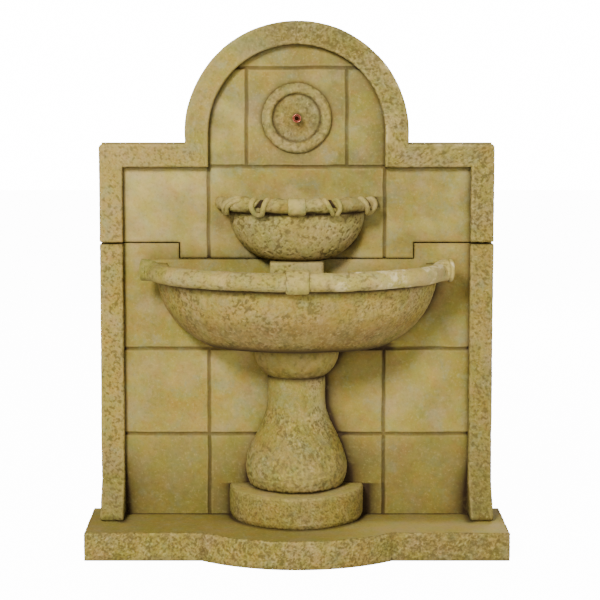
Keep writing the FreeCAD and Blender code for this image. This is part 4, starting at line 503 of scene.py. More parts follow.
def weathered_group():
    """The colour, roughness and fine height of old cast stone, from its place and from the marks on its mesh. Layers
    of colour lie one over another, each by a share of noise or of a mark, and tints lie between."""
    number = "NodeSocketFloat"
    group, takes, gives = new_group(
        "weathered stone",
        [("place", "NodeSocketVector")] + [(mark, number) for mark in MARKS],
        [("Color", "NodeSocketColor"), ("Roughness", number), ("Height", number)],
    )
    place, relief, grime, worn, moss, tone, rust, chiselled = takes.outputs[:8]
    wide, patch, yellow, green, stain, speckle, dot, crumbs = (
        noise_of(group, place, *numbers) for numbers in STONE_NOISES)

    def eased(value, low, high, top=1.0, kind="SMOOTHSTEP"):
        """A value led from 0 at low to top at high."""
        return ramp_of(group, value, low, high, top, kind)

    def times(first, second):
        """The product of two values."""
        return sum_of(group, "MULTIPLY", first, second)

    def layered(colour, layers):
        """A colour under others, each laid over it by its share."""
        for share, layer in layers:
            colour = blend_of(group, share, colour, layer)
        return colour

    parts = shader_node(group, "ShaderNodeSeparateXYZ")
    group.links.new(place, parts.inputs[0])
    grain = sum_of(group, "MULTIPLY_ADD", chiselled, 0.14, 0.26)
    colour = layered(blend_of(group, eased(wide, 0.38, 0.64), OLIVE, TAN), (
        (eased(patch, 0.50, 0.64, 0.50), BLUSH),
        (eased(patch, 0.48, 0.36, 0.45), OLIVE),
        (eased(stain, 0.51, 0.66, 0.42), RUST),
        (eased(stain, 0.49, 0.36, 0.60), GREY),
        (times(rust, eased(patch, 0.25, 0.6)), RUST),
        (times(moss, eased(patch, 0.30, 0.6)), MOSS),
        (eased(tone, 0.0, 1.0, 0.70, "LINEAR"), PALE),
        (eased(tone, 0.0, -1.0, 0.62, "LINEAR"), PIT),
        (eased(relief, 0.45, 1.0, 0.42), PALE),
        (eased(relief, 0.52, 0.08, 0.78), PIT),
    ))
    for share, first, second in ((eased(yellow, 0.36, 0.64), YELLOWER, GREYER),
                                 (eased(green, 0.36, 0.64), GREENER, REDDER),
                                 (eased(parts.outputs["Z"], 0.80, 1.30), PLAIN, WASHED)):
        colour = tinted(group, colour, share, first, second)
    colour = layered(colour, (
        (times(eased(dot, 0.56, 0.66, 0.28), chiselled), PIT),
        (times(eased(speckle, 0.46, 0.28), grain), PIT),
        (times(eased(speckle, 0.54, 0.72), grain), PALE),
        (times(worn, eased(stain, 0.36, 0.60, 0.70)), PALE),
        (times(eased(worn, 0.70, 1.0), eased(stain, 0.42, 0.58, 0.75)), BLEACHED),
        # Real grime and painted shade, from the dark mark, darken the colour towards the darkest brown.
        (times(grime, eased(stain, 0.10, 0.45)), DIRT_AND_SHADE),
    ))
    height = sum_of(group, "MULTIPLY_ADD", crumbs, 0.45, speckle)
    group.links.new(colour, gives.inputs["Color"])
    group.links.new(sum_of(group, "MULTIPLY_ADD", speckle, 0.2, 0.74), gives.inputs["Roughness"])
    group.links.new(times(height, sum_of(group, "MULTIPLY_ADD", chiselled, 0.9, 0.35)), gives.inputs["Height"])
    return group


STONE_GROUP = weathered_group()


def new_material(name):
    """A material, its node tree and its shader."""
    made = bpy.data.materials.new(name)
    made.use_nodes = True
    return made, made.node_tree, made.node_tree.nodes["Principled BSDF"]


def bump_by(tree, shader, height, strength, distance):
    """Let the shader's normal follow a height."""
    bump = shader_node(tree, "ShaderNodeBump", in_Strength=strength, in_Distance=distance)
    tree.links.new(height, bump.inputs["Height"])
    tree.links.new(bump.outputs["Normal"], shader.inputs["Normal"])


def stone_material(name, marks, strength, distance):
    """Weathered cast stone. marks are the numbers on the mesh that its group reads."""
    made, tree, shader = new_material(name)
    stone = shader_node(tree, "ShaderNodeGroup", node_tree=STONE_GROUP)
    stone.inputs["relief"].default_value = 0.5
    tree.links.new(shader_node(tree, "ShaderNodeTexCoord").outputs["Object"], stone.inputs["place"])
    for mark in marks:
        held = shader_node(tree, "ShaderNodeAttribute", attribute_name=mark)
        tree.links.new(held.outputs["Fac"], stone.inputs[mark])
    tree.links.new(stone.outputs["Color"], shader.inputs["Base Color"])
    tree.links.new(stone.outputs["Roughness"], shader.inputs["Roughness"])
    bump_by(tree, shader, stone.outputs["Height"], strength, distance)
    shader.inputs["Specular IOR Level"].default_value = 0.22
    return made


STONE = stone_material("cast_stone", MARKS, 0.8, 0.0018)
STONE_BACK = stone_material("cast_stone_back", (), 0.9, 0.003)


def plain_material(name, base, metal=0.0, rough=0.5, grain=60.0, bump=0.15, spread=0.25, coat=0.0):
    """A finish with slow shifts of shade and a fine grain, from noise at the object's own coordinates."""
    made, tree, shader = new_material(name)
    place = shader_node(tree, "ShaderNodeTexCoord").outputs["Object"]
    fine = noise_of(tree, place, grain * 10, 3, 0.6)
    dark = tuple(c * (1 - spread) for c in base)
    light = tuple(min(c * (1 + spread), 1.0) for c in base)
    colour = blend_of(tree, ramp_of(tree, noise_of(tree, place, 22.0, 3, 0.6), 0.3, 0.7), dark, light)
    tree.links.new(colour, shader.inputs["Base Color"])
    tree.links.new(sum_of(tree, "MULTIPLY_ADD", fine, 0.25, rough - 0.12), shader.inputs["Roughness"])
    bump_by(tree, shader, fine, bump, 0.0004)
    shader.inputs["Metallic"].default_value = metal
    shader.inputs["Coat Weight"].default_value = coat
    return made


FINISHES = {name: plain_material(name, **look) for name, look in {
    "copper": dict(base=(0.68, 0.23, 0.14), metal=0.9, rough=0.24),
    "brass": dict(base=(0.52, 0.36, 0.12), metal=1.0, rough=0.38),
    "stainless_steel": dict(base=(0.50, 0.50, 0.49), metal=1.0, rough=0.35, spread=0.1),
    "galvanised_steel": dict(base=(0.42, 0.44, 0.45), metal=0.9, grain=12),
    "vinyl_hose": dict(base=(0.018, 0.018, 0.019), rough=0.38, spread=0.2, coat=0.2),
    "black_plastic": dict(base=(0.022, 0.022, 0.024), grain=90, bump=0.3),
    "grey_plastic": dict(base=(0.20, 0.21, 0.22), grain=90, bump=0.3, spread=0.08),
    "rubber": dict(base=(0.030, 0.029, 0.028), rough=0.75, grain=40, bump=0.3),
    "ceramic": dict(base=(0.72, 0.70, 0.66), rough=0.3, spread=0.05),
}.items()}
FINISHES["cast_stone"] = STONE_BACK


# The base slab.


def base_outline():
    """The slab's plan from its back left corner round the front to its back right corner: straight sides and front,
    with the arc of a circle for the bow and rounded corners."""
    bow = -BASE_LOW.y - BASE_FRONT
    radius = (BOW_HALF ** 2 + bow ** 2) / (2 * bow)
    sweep = math.asin(BOW_HALF / radius)
    turn = np.linspace(-sweep, sweep, 60)
    arc = np.stack([radius * np.sin(turn), radius - bow - BASE_FRONT - radius * np.cos(turn)], axis=-1)
    half = BASE_HIGH.x
    left = bent([(-half, 0.0), (-half, -BASE_FRONT), (-BOW_HALF, -BASE_FRONT)], [BASE_ROUND * 1.5], FINE)
    right = left[::-1] * np.array((-1, 1))
    return stepped(np.concatenate([left[:-1], arc, right[1:]]), FINE)


def base_slab():
    """Sections that fan out from a line at the back: each goes from there over the top, round the worn edge by a
    quarter circle and down the front, and back under the slab."""
    plan = base_outline()
    height, rounding = BASE_HIGH.z, BASE_ROUND
    share = 1 - (1 - np.linspace(0, 1, 72)) ** 1.6
    turn = np.linspace(0, math.pi / 2, 7)[1:]
    down = np.linspace(height - rounding, 0.0, 30)[1:]
    reach = np.concatenate([share, np.ones(len(turn) + len(down)), [0.0]])
    inset = np.concatenate([np.full(len(share), rounding), rounding * (1 - np.sin(turn)), np.zeros(len(down) + 1)])
    level = np.concatenate([np.full(len(share), height), height - rounding * (1 - np.cos(turn)), down, [0.0]])
    ahead = np.gradient(plan, axis=0)
    outward = unit(joined(ahead[:, 1], -ahead[:, 0]))
    spine = plan * np.array((0.55, 0.0))
    edge = plan[:, None] - outward[:, None] * inset[:, None]
    flat = spine[:, None] + (edge - spine[:, None]) * reach[:, None]
    x, y = flat[..., 0], flat[..., 1]
    rings = joined(x, y, level)
    z = rings[..., 2]
    at_edge = reach > 0.999
    side = np.where(at_edge, 1.0, smooth(0.985, 0.998, reach))
    top = (z > height - 0.001) & ~at_edge
    front = smooth(-0.10, -0.20, y)
    # Painted shade on the slab: on its top in the corner by the wall, beside the pilasters' feet and round the drum,
    # and on its front along the foot and the bow's inner corners.
    wall_corner_shade = near(y, -TILE_FACE, 0.014) * (np.abs(x) < INNER_HALF)
    foot_shadow = near(np.abs(x), INNER_HALF, 0.016) * smooth(-0.19, -0.16, y) * smooth(-0.05, -0.07, y)
    drum = np.hypot(x, y + TILE_FACE) - DRUM_HIGH.x
    drum_shadow = 0.6 * near(drum, 0, 0.009) + 0.40 * near(drum, 0, 0.045) * smooth(-0.24, -0.12, y)
    painted_shade = np.where(top, 0.9 * wall_corner_shade + 0.8 * foot_shadow + drum_shadow,
                    (0.4 * near(z, 0, 0.008) + 0.35 * near(np.abs(x), BOW_HALF, 0.007)) * front)
    casting("base_casting", rings, "base_slab", worms, 0.0100, chisel=0.0015 * side + 0.0003, swell=0.0014,
            hold=np.where(z < 1e-6, 0, 1), grime=painted_shade, worn=0.15 * near(z, height - 0.004, 0.006) * at_edge,
            moss=np.where(top, 0.6, 0.25), rust=np.where(top, 0.25, 0.1), seed=3,
            tone=np.where(top, -0.36 + smooth(0.0, 0.30, x) * front, -0.12 - 0.54 * smooth(0.0, 0.45, x)))


# The wall: tiles, the raised frame and the backs.


def joint_gap(x, z, uprights, levels, wander):
    """Each place's distance from the nearest tile joint. uprights and levels give each joint's place and the span that
    it covers; off its span a joint counts as far away. The lines wander a little."""
    gap = np.full(x.shape, 1.0)
    for across, up, joints in ((x, z, uprights), (z, x, levels)):
        for place, low, high in joints:
            gap = np.minimum(gap, np.abs(across - place - wander) + FAR * ((up < low) | (up > high)))
    return gap


# The outline, height and half width, of what stands against the wall.
OUTLINE = np.array([(0.083, 0.202), (0.178, 0.202), (0.179, 0.150), (0.234, 0.154), (0.300, 0.138), (0.360, 0.113),
                    (0.420, 0.093), (0.512, 0.087), (0.545, 0.114), (0.585, 0.128), (0.611, 0.128), (0.613, 0.272),
                    (0.640, 0.315), (0.703, 0.382), (0.760, 0.410), (0.811, 0.422), (0.813, 0.455), (0.862, 0.455),
                    (0.863, 0.080), (0.867, 0.098), (0.900, 0.155), (0.927, 0.178), (1.018, 0.203), (1.019, 0.238),
                    (1.052, 0.238), (1.053, -1.0)])


def painted_shadow_beside(x, z):
    """Shadow painted on the wall beside the pieces that stand against it. It falls as exp(-distance) from their
    outline, and lies wider on the right, beside the drum and under the basin. A ring of it lies round the rosette, and
    a darker band lies above the basin's rim on the left."""
    away = np.abs(x) - np.interp(z, OUTLINE[:, 0], OUTLINE[:, 1])
    right = smooth(-0.02, 0.02, x)
    low = smooth(0.30, 0.18, z)
    ends = 1 - 0.6 * smooth(0.79, 0.82, z) * smooth(0.90, 0.87, z)
    close = ends * (0.25 + 0.60 * right + 0.80 * low) * fading(away, 0.008 + 0.008 * right + 0.010 * low)
    wide = 0.34 * right * fading(away, 0.040) * smooth(1.0, 0.8, z)
    below = BASIN_LOW.z - z
    under = (below > 0) * (fading(below, 0.007 + 0.009 * right) + 0.50 * right * fading(below, 0.060))
    over = z - BASIN_RIM - 0.025
    above = 0.42 * (over > 0) * fading(over, 0.022)
    ring = np.abs(np.hypot(x, z - SPOUT_LEVEL) - ROSETTE_HIGH.x)
    return ((close + wide) * smooth(-0.030, -0.010, away) + 0.55 * fading(ring, 0.006)
            + 0.9 * under * smooth(0.31, 0.27, np.abs(x))
            + above * smooth(0.47, 0.42, np.abs(x)) * smooth(0.05, -0.05, x))


def seam_gap(x, z):
    """The distance from the seam between the panels, which steps down round the upper one's key, times 1.8, so that
    the grime and painted shade along it lie closer than the frame's."""
    seam = np.where(np.abs(x) < KEY_HALF, np.abs(z - KEY_LOW), np.abs(z - SEAM))
    side = np.abs(np.abs(x) - KEY_HALF) + FAR * ((z < KEY_LOW - 0.001) | (z > SEAM + 0.001))
    return 1.8 * np.minimum(seam, side)


def tile_grid(left, right, low, high, uprights, levels):
    """A grid over a rectangle of tiles, with its places closer near the joints that cross it."""
    across = spaced(left, right, TILE_STEP, [place for place in uprights if left < place < right])
    up = spaced(low, high, TILE_STEP, [place for place in levels if low < place < high])
    return np.meshgrid(across, up)


def tile_field(name, x, z, uprights, levels, frame_gap, node, seed):
    """A tiled face: a grid over x and z at the tiled face's depth, sunk along its joints by a groove whose section is
    the curve 3t^2 - 2t^3 from edge to middle. frame_gap is each point's distance from the raised frame or a seam."""
    flat = joined(x, -TILE_FACE, z)
    wander = (noise(flat, 0.05, seed) - 0.5) * 0.0026
    gap = joint_gap(x, z, uprights, levels, wander)
    flat[..., 1] += JOINT_DEPTH * smooth(JOINT_HALF, JOINT_HALF * 0.25, gap)
    flat[..., 1] += smooth(0.62, 0.80, noise(flat, 0.03, seed + 5)) * 0.0009 + 0.0022 * smooth(0.007, 0.0, frame_gap)
    column, row = (np.digitize(along, sorted(place for place, _, _ in joints))
                   for along, joints in ((x, uprights), (z, levels)))
    own = hashed(joined(column, row, 5), 9) - 0.5
    blotch = cloudy(flat, 0.10, seed + 2) - 0.5
    bloom = smooth(0.55, 0.85, noise(flat, 0.075, seed + 3)) * smooth(0.8, 1.0, z)
    low = smooth(LOW_JOINT + 0.02, LOW_JOINT - 0.05, z)
    left = smooth(-0.18, -0.26, x)
    shade = (np.where(z > SHOULDER_JOINT, -0.52 * smooth(-0.18, -0.12, x), 0.46 * left * smooth(0.86, 0.92, z))
             - 0.12 * smooth(0.20, 0.30, x) * smooth(0.55, 0.65, z)
             + 0.75 * near(x, 0.22, 0.15) * near(z, 0.86, 0.03)
             + 0.55 * near(x, -0.21, 0.08) * near(z, 0.56, 0.03)
             + (0.40 * near(x, 0.26, 0.05) - 0.90 * near(x, -0.235, 0.035)) * near(z, 0.98, 0.07))
    painted_shade = painted_shadow_beside(x, z)
    # The tiles are dark in their joints, from grime; along the frame's edge and the seam, from grime and painted
    # shade; in the low corners by the pilasters' feet, from painted shade; and beside the pieces, from painted shadow,
    # which is also reddened as rust.
    casting(name, flat, node, crumbly, 0.011, chisel=0.00035, swell=0.0007, wrap=False, seed=seed, front=(0, -1, 0),
            grime=0.66 * near(gap, 0, 0.0062) + 0.62 * fading(frame_gap, 0.006)
            + 1.4 * smooth(0.30, 0.12, z) * fading(frame_gap, 0.028) + painted_shade,
            worn=0.35 * near(gap, 0.0078, 0.0022), moss=0.28 + 0.3 * low, rust=0.15 * low + 0.3 * painted_shade,
            tone=-0.04 + 0.22 * own + 0.95 * blotch - 0.50 * low + 0.50 * bloom + shade)


def lower_tiles():
    """The lower panel's field, from the base to the seam, with the notch for the upper panel's key left out."""
    levels = [(LOW_JOINT, -1, 1), (MID_JOINT, -1, 1)]
    uprights = [(side, 0, MID_JOINT) for side in (-TILE_SIDE, 0.0, TILE_SIDE)]
    edge = INNER_HALF + UNDER_FRAME
    for name, low, high, left, right in (
        ("lower_tiles", BASE_HIGH.z, KEY_LOW - JOINT_OPEN, -edge, edge),
        ("lower_tiles_left", KEY_LOW - JOINT_OPEN, SEAM - JOINT_OPEN, -edge, -KEY_HALF - JOINT_OPEN),
        ("lower_tiles_right", KEY_LOW - JOINT_OPEN, SEAM - JOINT_OPEN, KEY_HALF + JOINT_OPEN, edge),
    ):
        x, z = tile_grid(left, right, low, high, (-TILE_SIDE, 0.0, TILE_SIDE), (LOW_JOINT, MID_JOINT))
        gap = np.minimum(INNER_HALF - np.abs(x), seam_gap(x, z))
        tile_field(name, x, z, uprights, levels, gap, "lower_wall_panel", seed=40)


def upper_tiles():
    """The upper panel's field: its key, the part under the shoulders, and the part inside the arch, whose rows are
    as wide as the arch is at their height."""
    uprights = [(side, 0, SHOULDER_JOINT) for side in (-TILE_SIDE, TILE_SIDE)]
    uprights += [(side, SHOULDER_JOINT, HIGH_JOINT) for side in (-SQUARE_HALF, SQUARE_HALF)]
    levels = [(SHOULDER_JOINT, -ARCH_INNER, ARCH_INNER), (HIGH_JOINT, -1, 1)]
    over = SHOULDER_JOINT + UNDER_FRAME
    for name, low, high, half in (
        ("upper_tiles_key", KEY_LOW + JOINT_OPEN, SEAM + JOINT_OPEN, KEY_HALF - JOINT_OPEN),
        ("upper_tiles_low", SEAM + JOINT_OPEN, over, INNER_HALF + UNDER_FRAME),
    ):
        x, z = tile_grid(-half, half, low, high, (-TILE_SIDE, TILE_SIDE), (SHOULDER_JOINT,))
        gap = np.minimum(INNER_HALF - np.abs(x), np.where(np.abs(x) > ARCH_INNER, SHOULDER_JOINT - z, FAR))
        tile_field(name, x, z, uprights, levels, np.minimum(gap, seam_gap(x, z)), "upper_wall_panel", seed=60)
    edge = ARCH_INNER + UNDER_FRAME
    up = spaced(over, ARCH_CENTRE + edge - 0.0015, ARCH_STEP, [over, HIGH_JOINT])
    width = np.where(up > ARCH_CENTRE, np.sqrt(np.clip(edge ** 2 - (up - ARCH_CENTRE) ** 2, 1e-8, 1)), edge)
    x, z = np.broadcast_arrays(width[:, None] * np.linspace(-1, 1, 320), up[:, None])
    gap = np.where(z > ARCH_CENTRE, ARCH_INNER - np.hypot(x, z - ARCH_CENTRE), ARCH_INNER - np.abs(x))
    tile_field("upper_tiles_arch", x, z, uprights, levels, gap, "upper_wall_panel", seed=60)


def band(name, outer, inner, proud, tuck, strength, node, seed):
    """The raised frame: a section up the outer side, across the front and down the inner side, with rounded corners,
    carried along the frame's outer and inner edges. proud is the front's depth at each place along it, and tuck is
    how much the section shrinks there."""
    full = TILE_FACE + FRAME_PROUD
    corners = [(0.0, 0.0), (0.0, full), (FRAME_WIDTH, full), (FRAME_WIDTH, TILE_FACE - 0.006)]
    section = bent(corners, [FRAME_ROUND, FRAME_ROUND], 0.0027)
    section = np.concatenate([section, [(FRAME_WIDTH, 0.003)]])
    share, depth = section[:, 0] / FRAME_WIDTH, section[:, 1]
    outer = outer + (inner - outer) / FRAME_WIDTH * tuck[:, None]
    flat = outer[:, None] + (inner - outer)[:, None] * share[:, None]
    forward = (proud - full - tuck)[:, None] * smooth(0.45, 1.0, depth / full)
    x, z = flat[..., 0], flat[..., 1]
    rings = joined(x, -(depth + forward), z)
    edge = near(depth, full, 0.0045) * (near(share, 0.0, 0.10) + near(share, 1.0, 0.10))
    inner_foot_shade = near(depth, TILE_FACE, 0.010) * (share > 0.9)
    seam = near(z, SEAM, 0.0045) * (np.abs(x) > INNER_HALF - 0.01)
    pale = 0.55 * smooth(0.46, 0.64, cloudy(rings, 0.03, 77)) * smooth(0.15, 0.28, x) * smooth(1.16, 1.22, z)
    # The frame is darkened by painted shade where its inner side meets the tiles and where the pilasters stand on the
    # base, and by real grime along the seam.
    casting(name, rings, node, speckled, 0.0062, chisel=0.0014 * strength * smooth(0.015, 0.05, depth),
            swell=0.0013, hold=smooth(0.0, 0.01, depth), worn=0.5 * edge + pale, rust=0.12, seed=seed,
            grime=0.7 * inner_foot_shade + 0.75 * seam + 0.8 * near(z, BASE_HIGH.z, 0.008),
            moss=0.25 + 0.6 * smooth(0.30, 0.12, z) + 0.4 * smooth(1.40, 1.54, z),
            # The right half is darker in tone all over: painted shade on the side away from the light.
            tone=-0.02 - 0.60 * smooth(0.36, 0.12, z) - 1.05 * smooth(1.42, 1.54, z) * smooth(-0.25, 0.0, x)
            - 0.46 * (x > 0))


def wall_frame():
    """The upper frame, up one side, over the shoulder, round the arch and down again, and the two lower uprights
    with their flared feet."""
    low, full = SEAM + JOINT_OPEN, TILE_FACE + FRAME_PROUD
    pairs = np.array([((-WALL_HALF, low), (-INNER_HALF, low)), ((-WALL_HALF, SHOULDER), (-INNER_HALF, SHOULDER_JOINT)),
                      ((-ARCH_OUTER, SHOULDER), (-ARCH_INNER, SHOULDER_JOINT)),
                      ((-ARCH_OUTER, ARCH_CENTRE), (-ARCH_INNER, ARCH_CENTRE))])
    parts = []
    for start, stop in zip(pairs[:-1], pairs[1:]):
        count = int(np.linalg.norm(stop[0] - start[0]) / FINE)
        parts.append(start + (stop - start) * (np.arange(count) / count)[:, None, None])
    arc = on_circle(np.linspace(math.pi, math.pi / 2, 190))
    parts.append(arc[:, None] * np.array((ARCH_OUTER, ARCH_INNER))[:, None] + np.array((0, ARCH_CENTRE)))
    outer, inner = np.concatenate(parts).transpose(1, 0, 2)
    corner = np.array((-WALL_HALF + CORNER_ROUND, SHOULDER - CORNER_ROUND))
    away = outer - corner
    far = (away[:, :1] < 0) & (away[:, 1:] > 0)
    outer = np.where(far, corner + unit(away) * CORNER_ROUND, outer)
    x, z = outer.T
    proud = np.full(len(outer), full)
    tuck = rounded_end(z - low)
    smoother = 0.30 + 0.40 * smooth(1.25, 1.20, z) + 0.70 * smooth(-0.2, 0.0, x)
    flip = np.array((-1, 1))
    band("frame_left", outer, inner, proud, tuck, smoother[:, None], "upper_wall_panel", 71)
    band("frame_right", outer * flip, inner * flip, proud, tuck, 1.15, "upper_wall_panel", 71)
    z = spaced(BASE_HIGH.z + 0.0005, SEAM - JOINT_OPEN, FINE, [BASE_HIGH.z + 0.004, SEAM - 0.004], reach=0.004)
    reach = -LOWER_LOW.y
    proud = np.interp(z, [BASE_HIGH.z, FOOT_TOE, FOOT_TOP, SEAM], [reach, reach, full, full])
    tuck = np.maximum(rounded_end(z - BASE_HIGH.z, 0.009), rounded_end(SEAM - z))
    for name, sign in (("pilaster_left", -1), ("pilaster_right", 1)):
        band(name, joined(sign * WALL_HALF, z), joined(sign * INNER_HALF, z), proud, tuck, 0.85,
             "lower_wall_panel", 75)


def rounded_end(distance, radius=END_ROUND):
    """How far a piece draws in at a distance from its end: the rest of a quarter circle."""
    t = np.clip(1 - distance / radius, 0, 1)
    return radius * (1 - np.sqrt(1 - t * t))


def wall_backs():
    """The backs of the two panels, with their channel, seats and holes: the CAD mesh without its tiled face and
    frame, which other pieces stand for."""
    joint_floor, tile_top = TILE_FACE - 0.0045, TILE_FACE + 0.0005
    for node, name in (("lower_wall_panel", "lower_wall_back"), ("upper_wall_panel", "upper_wall_back")):
        mesh = frame["nodes"][node].data.copy()
        mesh.name = name
        shell = bmesh.new()
        shell.from_mesh(mesh)
        bmesh.ops.remove_doubles(shell, verts=shell.verts, dist=1e-6)
        gone = []
        for face in shell.faces:
            depths = [-corner.co.y for corner in face.verts]
            if max(depths) > tile_top or min(depths) > joint_floor:
                gone.append(face)
        bmesh.ops.delete(shell, geom=gone, context="FACES")
        shell.to_mesh(mesh)
        shell.free()
        mesh.materials.clear()
        mesh.materials.append(STONE_BACK)
        on_fountain(new_object(name, mesh), node)


# Turned pieces: the pedestal and the rosette.


def shade_by_wall(rings):
    """Painted shade in the corner between a piece and the wall: exp(-distance from the tiled face)."""
    return fading(-TILE_FACE - rings[..., 1], 0.018)


def half_turned(name, profile, node, *pattern, **marks):
    """Half a turned piece: each ring is a half circle of a profile's radius in front of the wall, closed along its
    chord."""
    radius, height = profile[:, :1], profile[:, 1:]
    turn = np.linspace(0, math.pi, int(math.pi * radius.max() / FINE))
    x = np.concatenate([radius * np.cos(turn), radius * np.array((-0.5, 0.0, 0.5))], axis=1)
    y = np.concatenate([-TILE_FACE - radius * np.sin(turn), np.full((len(radius), 3), -TILE_FACE)], axis=1)
    rings = joined(x, y, height)
    marks["grime"] = marks["grime"] + 0.40 * shade_by_wall(rings)
    casting(name, rings, node, *pattern, **marks)


def between(z, low, high):
    """1 between two heights, eased to 0 over the last 2 mm before each."""
    return smooth(0.0, 0.002, z - low) * smooth(0.0, 0.002, high - z)


# The shaft's radii, the height of its bulge, and the share of its height that is straight neck. CORE is the radius at
# which its ends, and the capital's, are left flat.
SHAFT_BOTTOM, SHAFT_BELLY, SHAFT_NECK, BELLY_RISE, NECK_SHARE, CORE = 0.140, 0.154, 0.087, 0.056, 0.21, 0.03


def shaft_profile():
    """The shaft's radius up its height: a quarter-wave bulge at the foot, then the curve 3t^2 - 2t^3, eased towards
    the belly, in to the straight neck."""
    low, high = SHAFT_LOW.z, SHAFT_HIGH.z
    neck = high - (high - low) * NECK_SHARE
    z = np.append(np.arange(low, high, FINE), high)
    rise = np.clip((z - low) / BELLY_RISE, 0, 1)
    bulge = SHAFT_BOTTOM + (SHAFT_BELLY - SHAFT_BOTTOM) * np.sin(rise * math.pi / 2)
    fall = np.clip((z - low - BELLY_RISE) / (neck - low - BELLY_RISE), 0, 1) ** 0.94
    radius = np.where(rise < 1, bulge, SHAFT_BELLY + (SHAFT_NECK - SHAFT_BELLY) * fall * fall * (3 - 2 * fall))
    radius = radius - rounded_end(z - low, 0.008)
    return np.concatenate([[(CORE, low)], joined(radius, z), [(CORE, high)]])


def pedestal():
    """The drum, the waisted shaft and the coved capital."""
    low, top, radius = DRUM_LOW.z, DRUM_HIGH.z, DRUM_HIGH.x
    line = bent([(0.05, low), (radius - 0.005, low), (radius, low + 0.014), (radius, top), (0.05, top)],
                [0.004, 0.012, 0.008], 0.0027)
    out, z = line[:, :1], line[:, 1:]
    on_top = z > top - 0.001
    # Painted shade along the drum's foot on the base, round the shaft's foot on its top, and in the corner by the
    # wall.
    half_turned("drum_casting", line, "pedestal_drum", worms, 0.0086, chisel=np.where(on_top, 0.0006, 0.0012),
                hold=np.where(z < low + 1e-6, 0.0, 1.0), swell=0.0028,
                worn=0.3 * near(z, top - 0.005, 0.008) * (out > radius - 0.02), rust=0.15,
                grime=0.7 * near(z, low, 0.006) + 0.8 * on_top * near(out, SHAFT_BOTTOM - 0.004, 0.014),
                moss=np.where(on_top, 0.6, 0.45), tone=np.where(on_top, 0.50, -0.08), seed=80)
    line = shaft_profile()
    z = line[:, 1:]

    def curled(points, size, seed):
        """Fine patchy ridges that give way to wide ones near the foot."""
        foot = smooth(0.36, 0.24, points[..., 2] + 0.09 * (noise(points, 0.05, seed) - 0.5))
        return patchy(points, size * 0.74, seed) * (1 - foot) + worms(points, size, seed) * foot

    # Painted shade at the shaft's foot above the drum, under the capital, and in the corner by the wall.
    half_turned("shaft_casting", line, "pedestal_shaft", curled, 0.0138,
                chisel=0.0012 + 0.0008 * smooth(0.44, 0.24, z), swell=0.0030,
                hold=between(z, SHAFT_LOW.z, SHAFT_HIGH.z),
                grime=0.8 * near(z, SHAFT_LOW.z, 0.007) + 0.75 * near(z, SHAFT_HIGH.z, 0.009),
                worn=0.35 * near(z, SHAFT_LOW.z + 0.05, 0.05), moss=0.35,
                # The neck is paler on its right: a painted highlight.
                tone=lambda rings: -0.08 + 1.0 * smooth(0.02, 0.08, rings[..., 0]) * smooth(0.34, 0.44, z), seed=90)
    low, top, wide = CAPITAL_LOW.z, CAPITAL_HIGH.z, CAPITAL_HIGH.x
    rise = top - low
    neck = SHAFT_NECK - 0.003
    cove = bowed((neck, low), (neck + (wide - neck) * 0.72, low + rise * 0.30), (wide, low + rise * 0.72), 0.0026)
    line = np.concatenate([stepped([(CORE, low), (neck, low)], 0.02)[:-1], cove,
                           bent([(wide, low + rise * 0.72), (wide, top), (CORE, top)], [0.006], 0.0026)[1:]])
    z = line[:, 1:]
    # Painted shade on the capital's top under the basin and at its foot, where its tone is also darker, and in the
    # corner by the wall.
    half_turned("capital_casting", line, "pedestal_capital", crumbly, 0.013, chisel=0.0009,
                # The pale band round the capital's middle, marked as wear, is a painted highlight.
                hold=between(z, low, top), swell=0.0018, worn=0.3 * near(z, low + 0.055, 0.02), moss=0.35, rust=0.35,
                grime=0.7 * near(z, low, 0.008) + 1.0 * near(z, top, 0.020),
                tone=0.16 - 1.0 * near(z, low + 0.008, 0.024), seed=95)


def full_turned(line, sides):
    """A line of radius and distance forward, turned all the way round the spout's level axis."""
    circle = on_circle(whole_turn(sides))
    return joined(line[:, :1] * circle[:, 0], -line[:, 1:], SPOUT_LEVEL + line[:, :1] * circle[:, 1])


def rosette():
    """The spout's rosette: a profile of radius and thickness, turned all the way round. It has an outer roll, a dish
    and a swelling middle. The spout's mouth, a thin cone with a rounded lip, is turned the same way."""
    seat, outer = -ROSETTE_HIGH.y, ROSETTE_HIGH.x
    line = bent([(outer, 0.0), (outer, 0.0195), (0.076, 0.0205), (0.070, 0.0070), (0.044, 0.0075), (0.0085, 0.0165),
                 (0.0085, 0.0)], [0.012, 0.009, 0.005, 0.02, 0.003], 0.0021)
    line = np.concatenate([line, line[:1]])
    radius, thick = line[:, :1], line[:, 1:]
    rings = full_turned(line + np.array((0, seat)), 300)
    # Painted shade at the rosette's outer foot against the wall, at the step inside its roll and round the spout.
    casting("rosette_casting", rings, "spout_rosette", crumbly, 0.0095, chisel=0.0012, caps=False, swell=0.0014,
            hold=smooth(0.0, 0.004, thick) * smooth(0.008, 0.014, radius),
            grime=0.9 * near(radius, outer, 0.005) * near(thick, 0.005, 0.006) + 0.6 * near(radius, 0.070, 0.005)
            + 0.9 * near(radius, 0.0105, 0.006), worn=0.3 * near(radius, 0.090, 0.009), moss=0.4, tone=-0.60,
            rust=0.5 * smooth(0.06, 0.03, radius), seed=100)
    front = -TUBE_LOW.y
    line = bent([(0.0064, front - 0.012), (0.0066, front - 0.006), (0.0112, front + 0.0035), (0.0130, front + 0.0015),
                 (0.0082, front - 0.006), (0.0064, front - 0.012)], [0.004, 0.0008, 0.0008, 0.003], 0.0006)
    sides = 64
    points = full_turned(line, sides).reshape(-1, 3)
    faces = grid_faces(len(line), sides, True)
    faces = faces if faces_out(points - points.mean(axis=0), faces) else faces[:, ::-1]
    on_fountain(piece("spout_flare", points, faces, [], {}, FINISHES["copper"]), None)


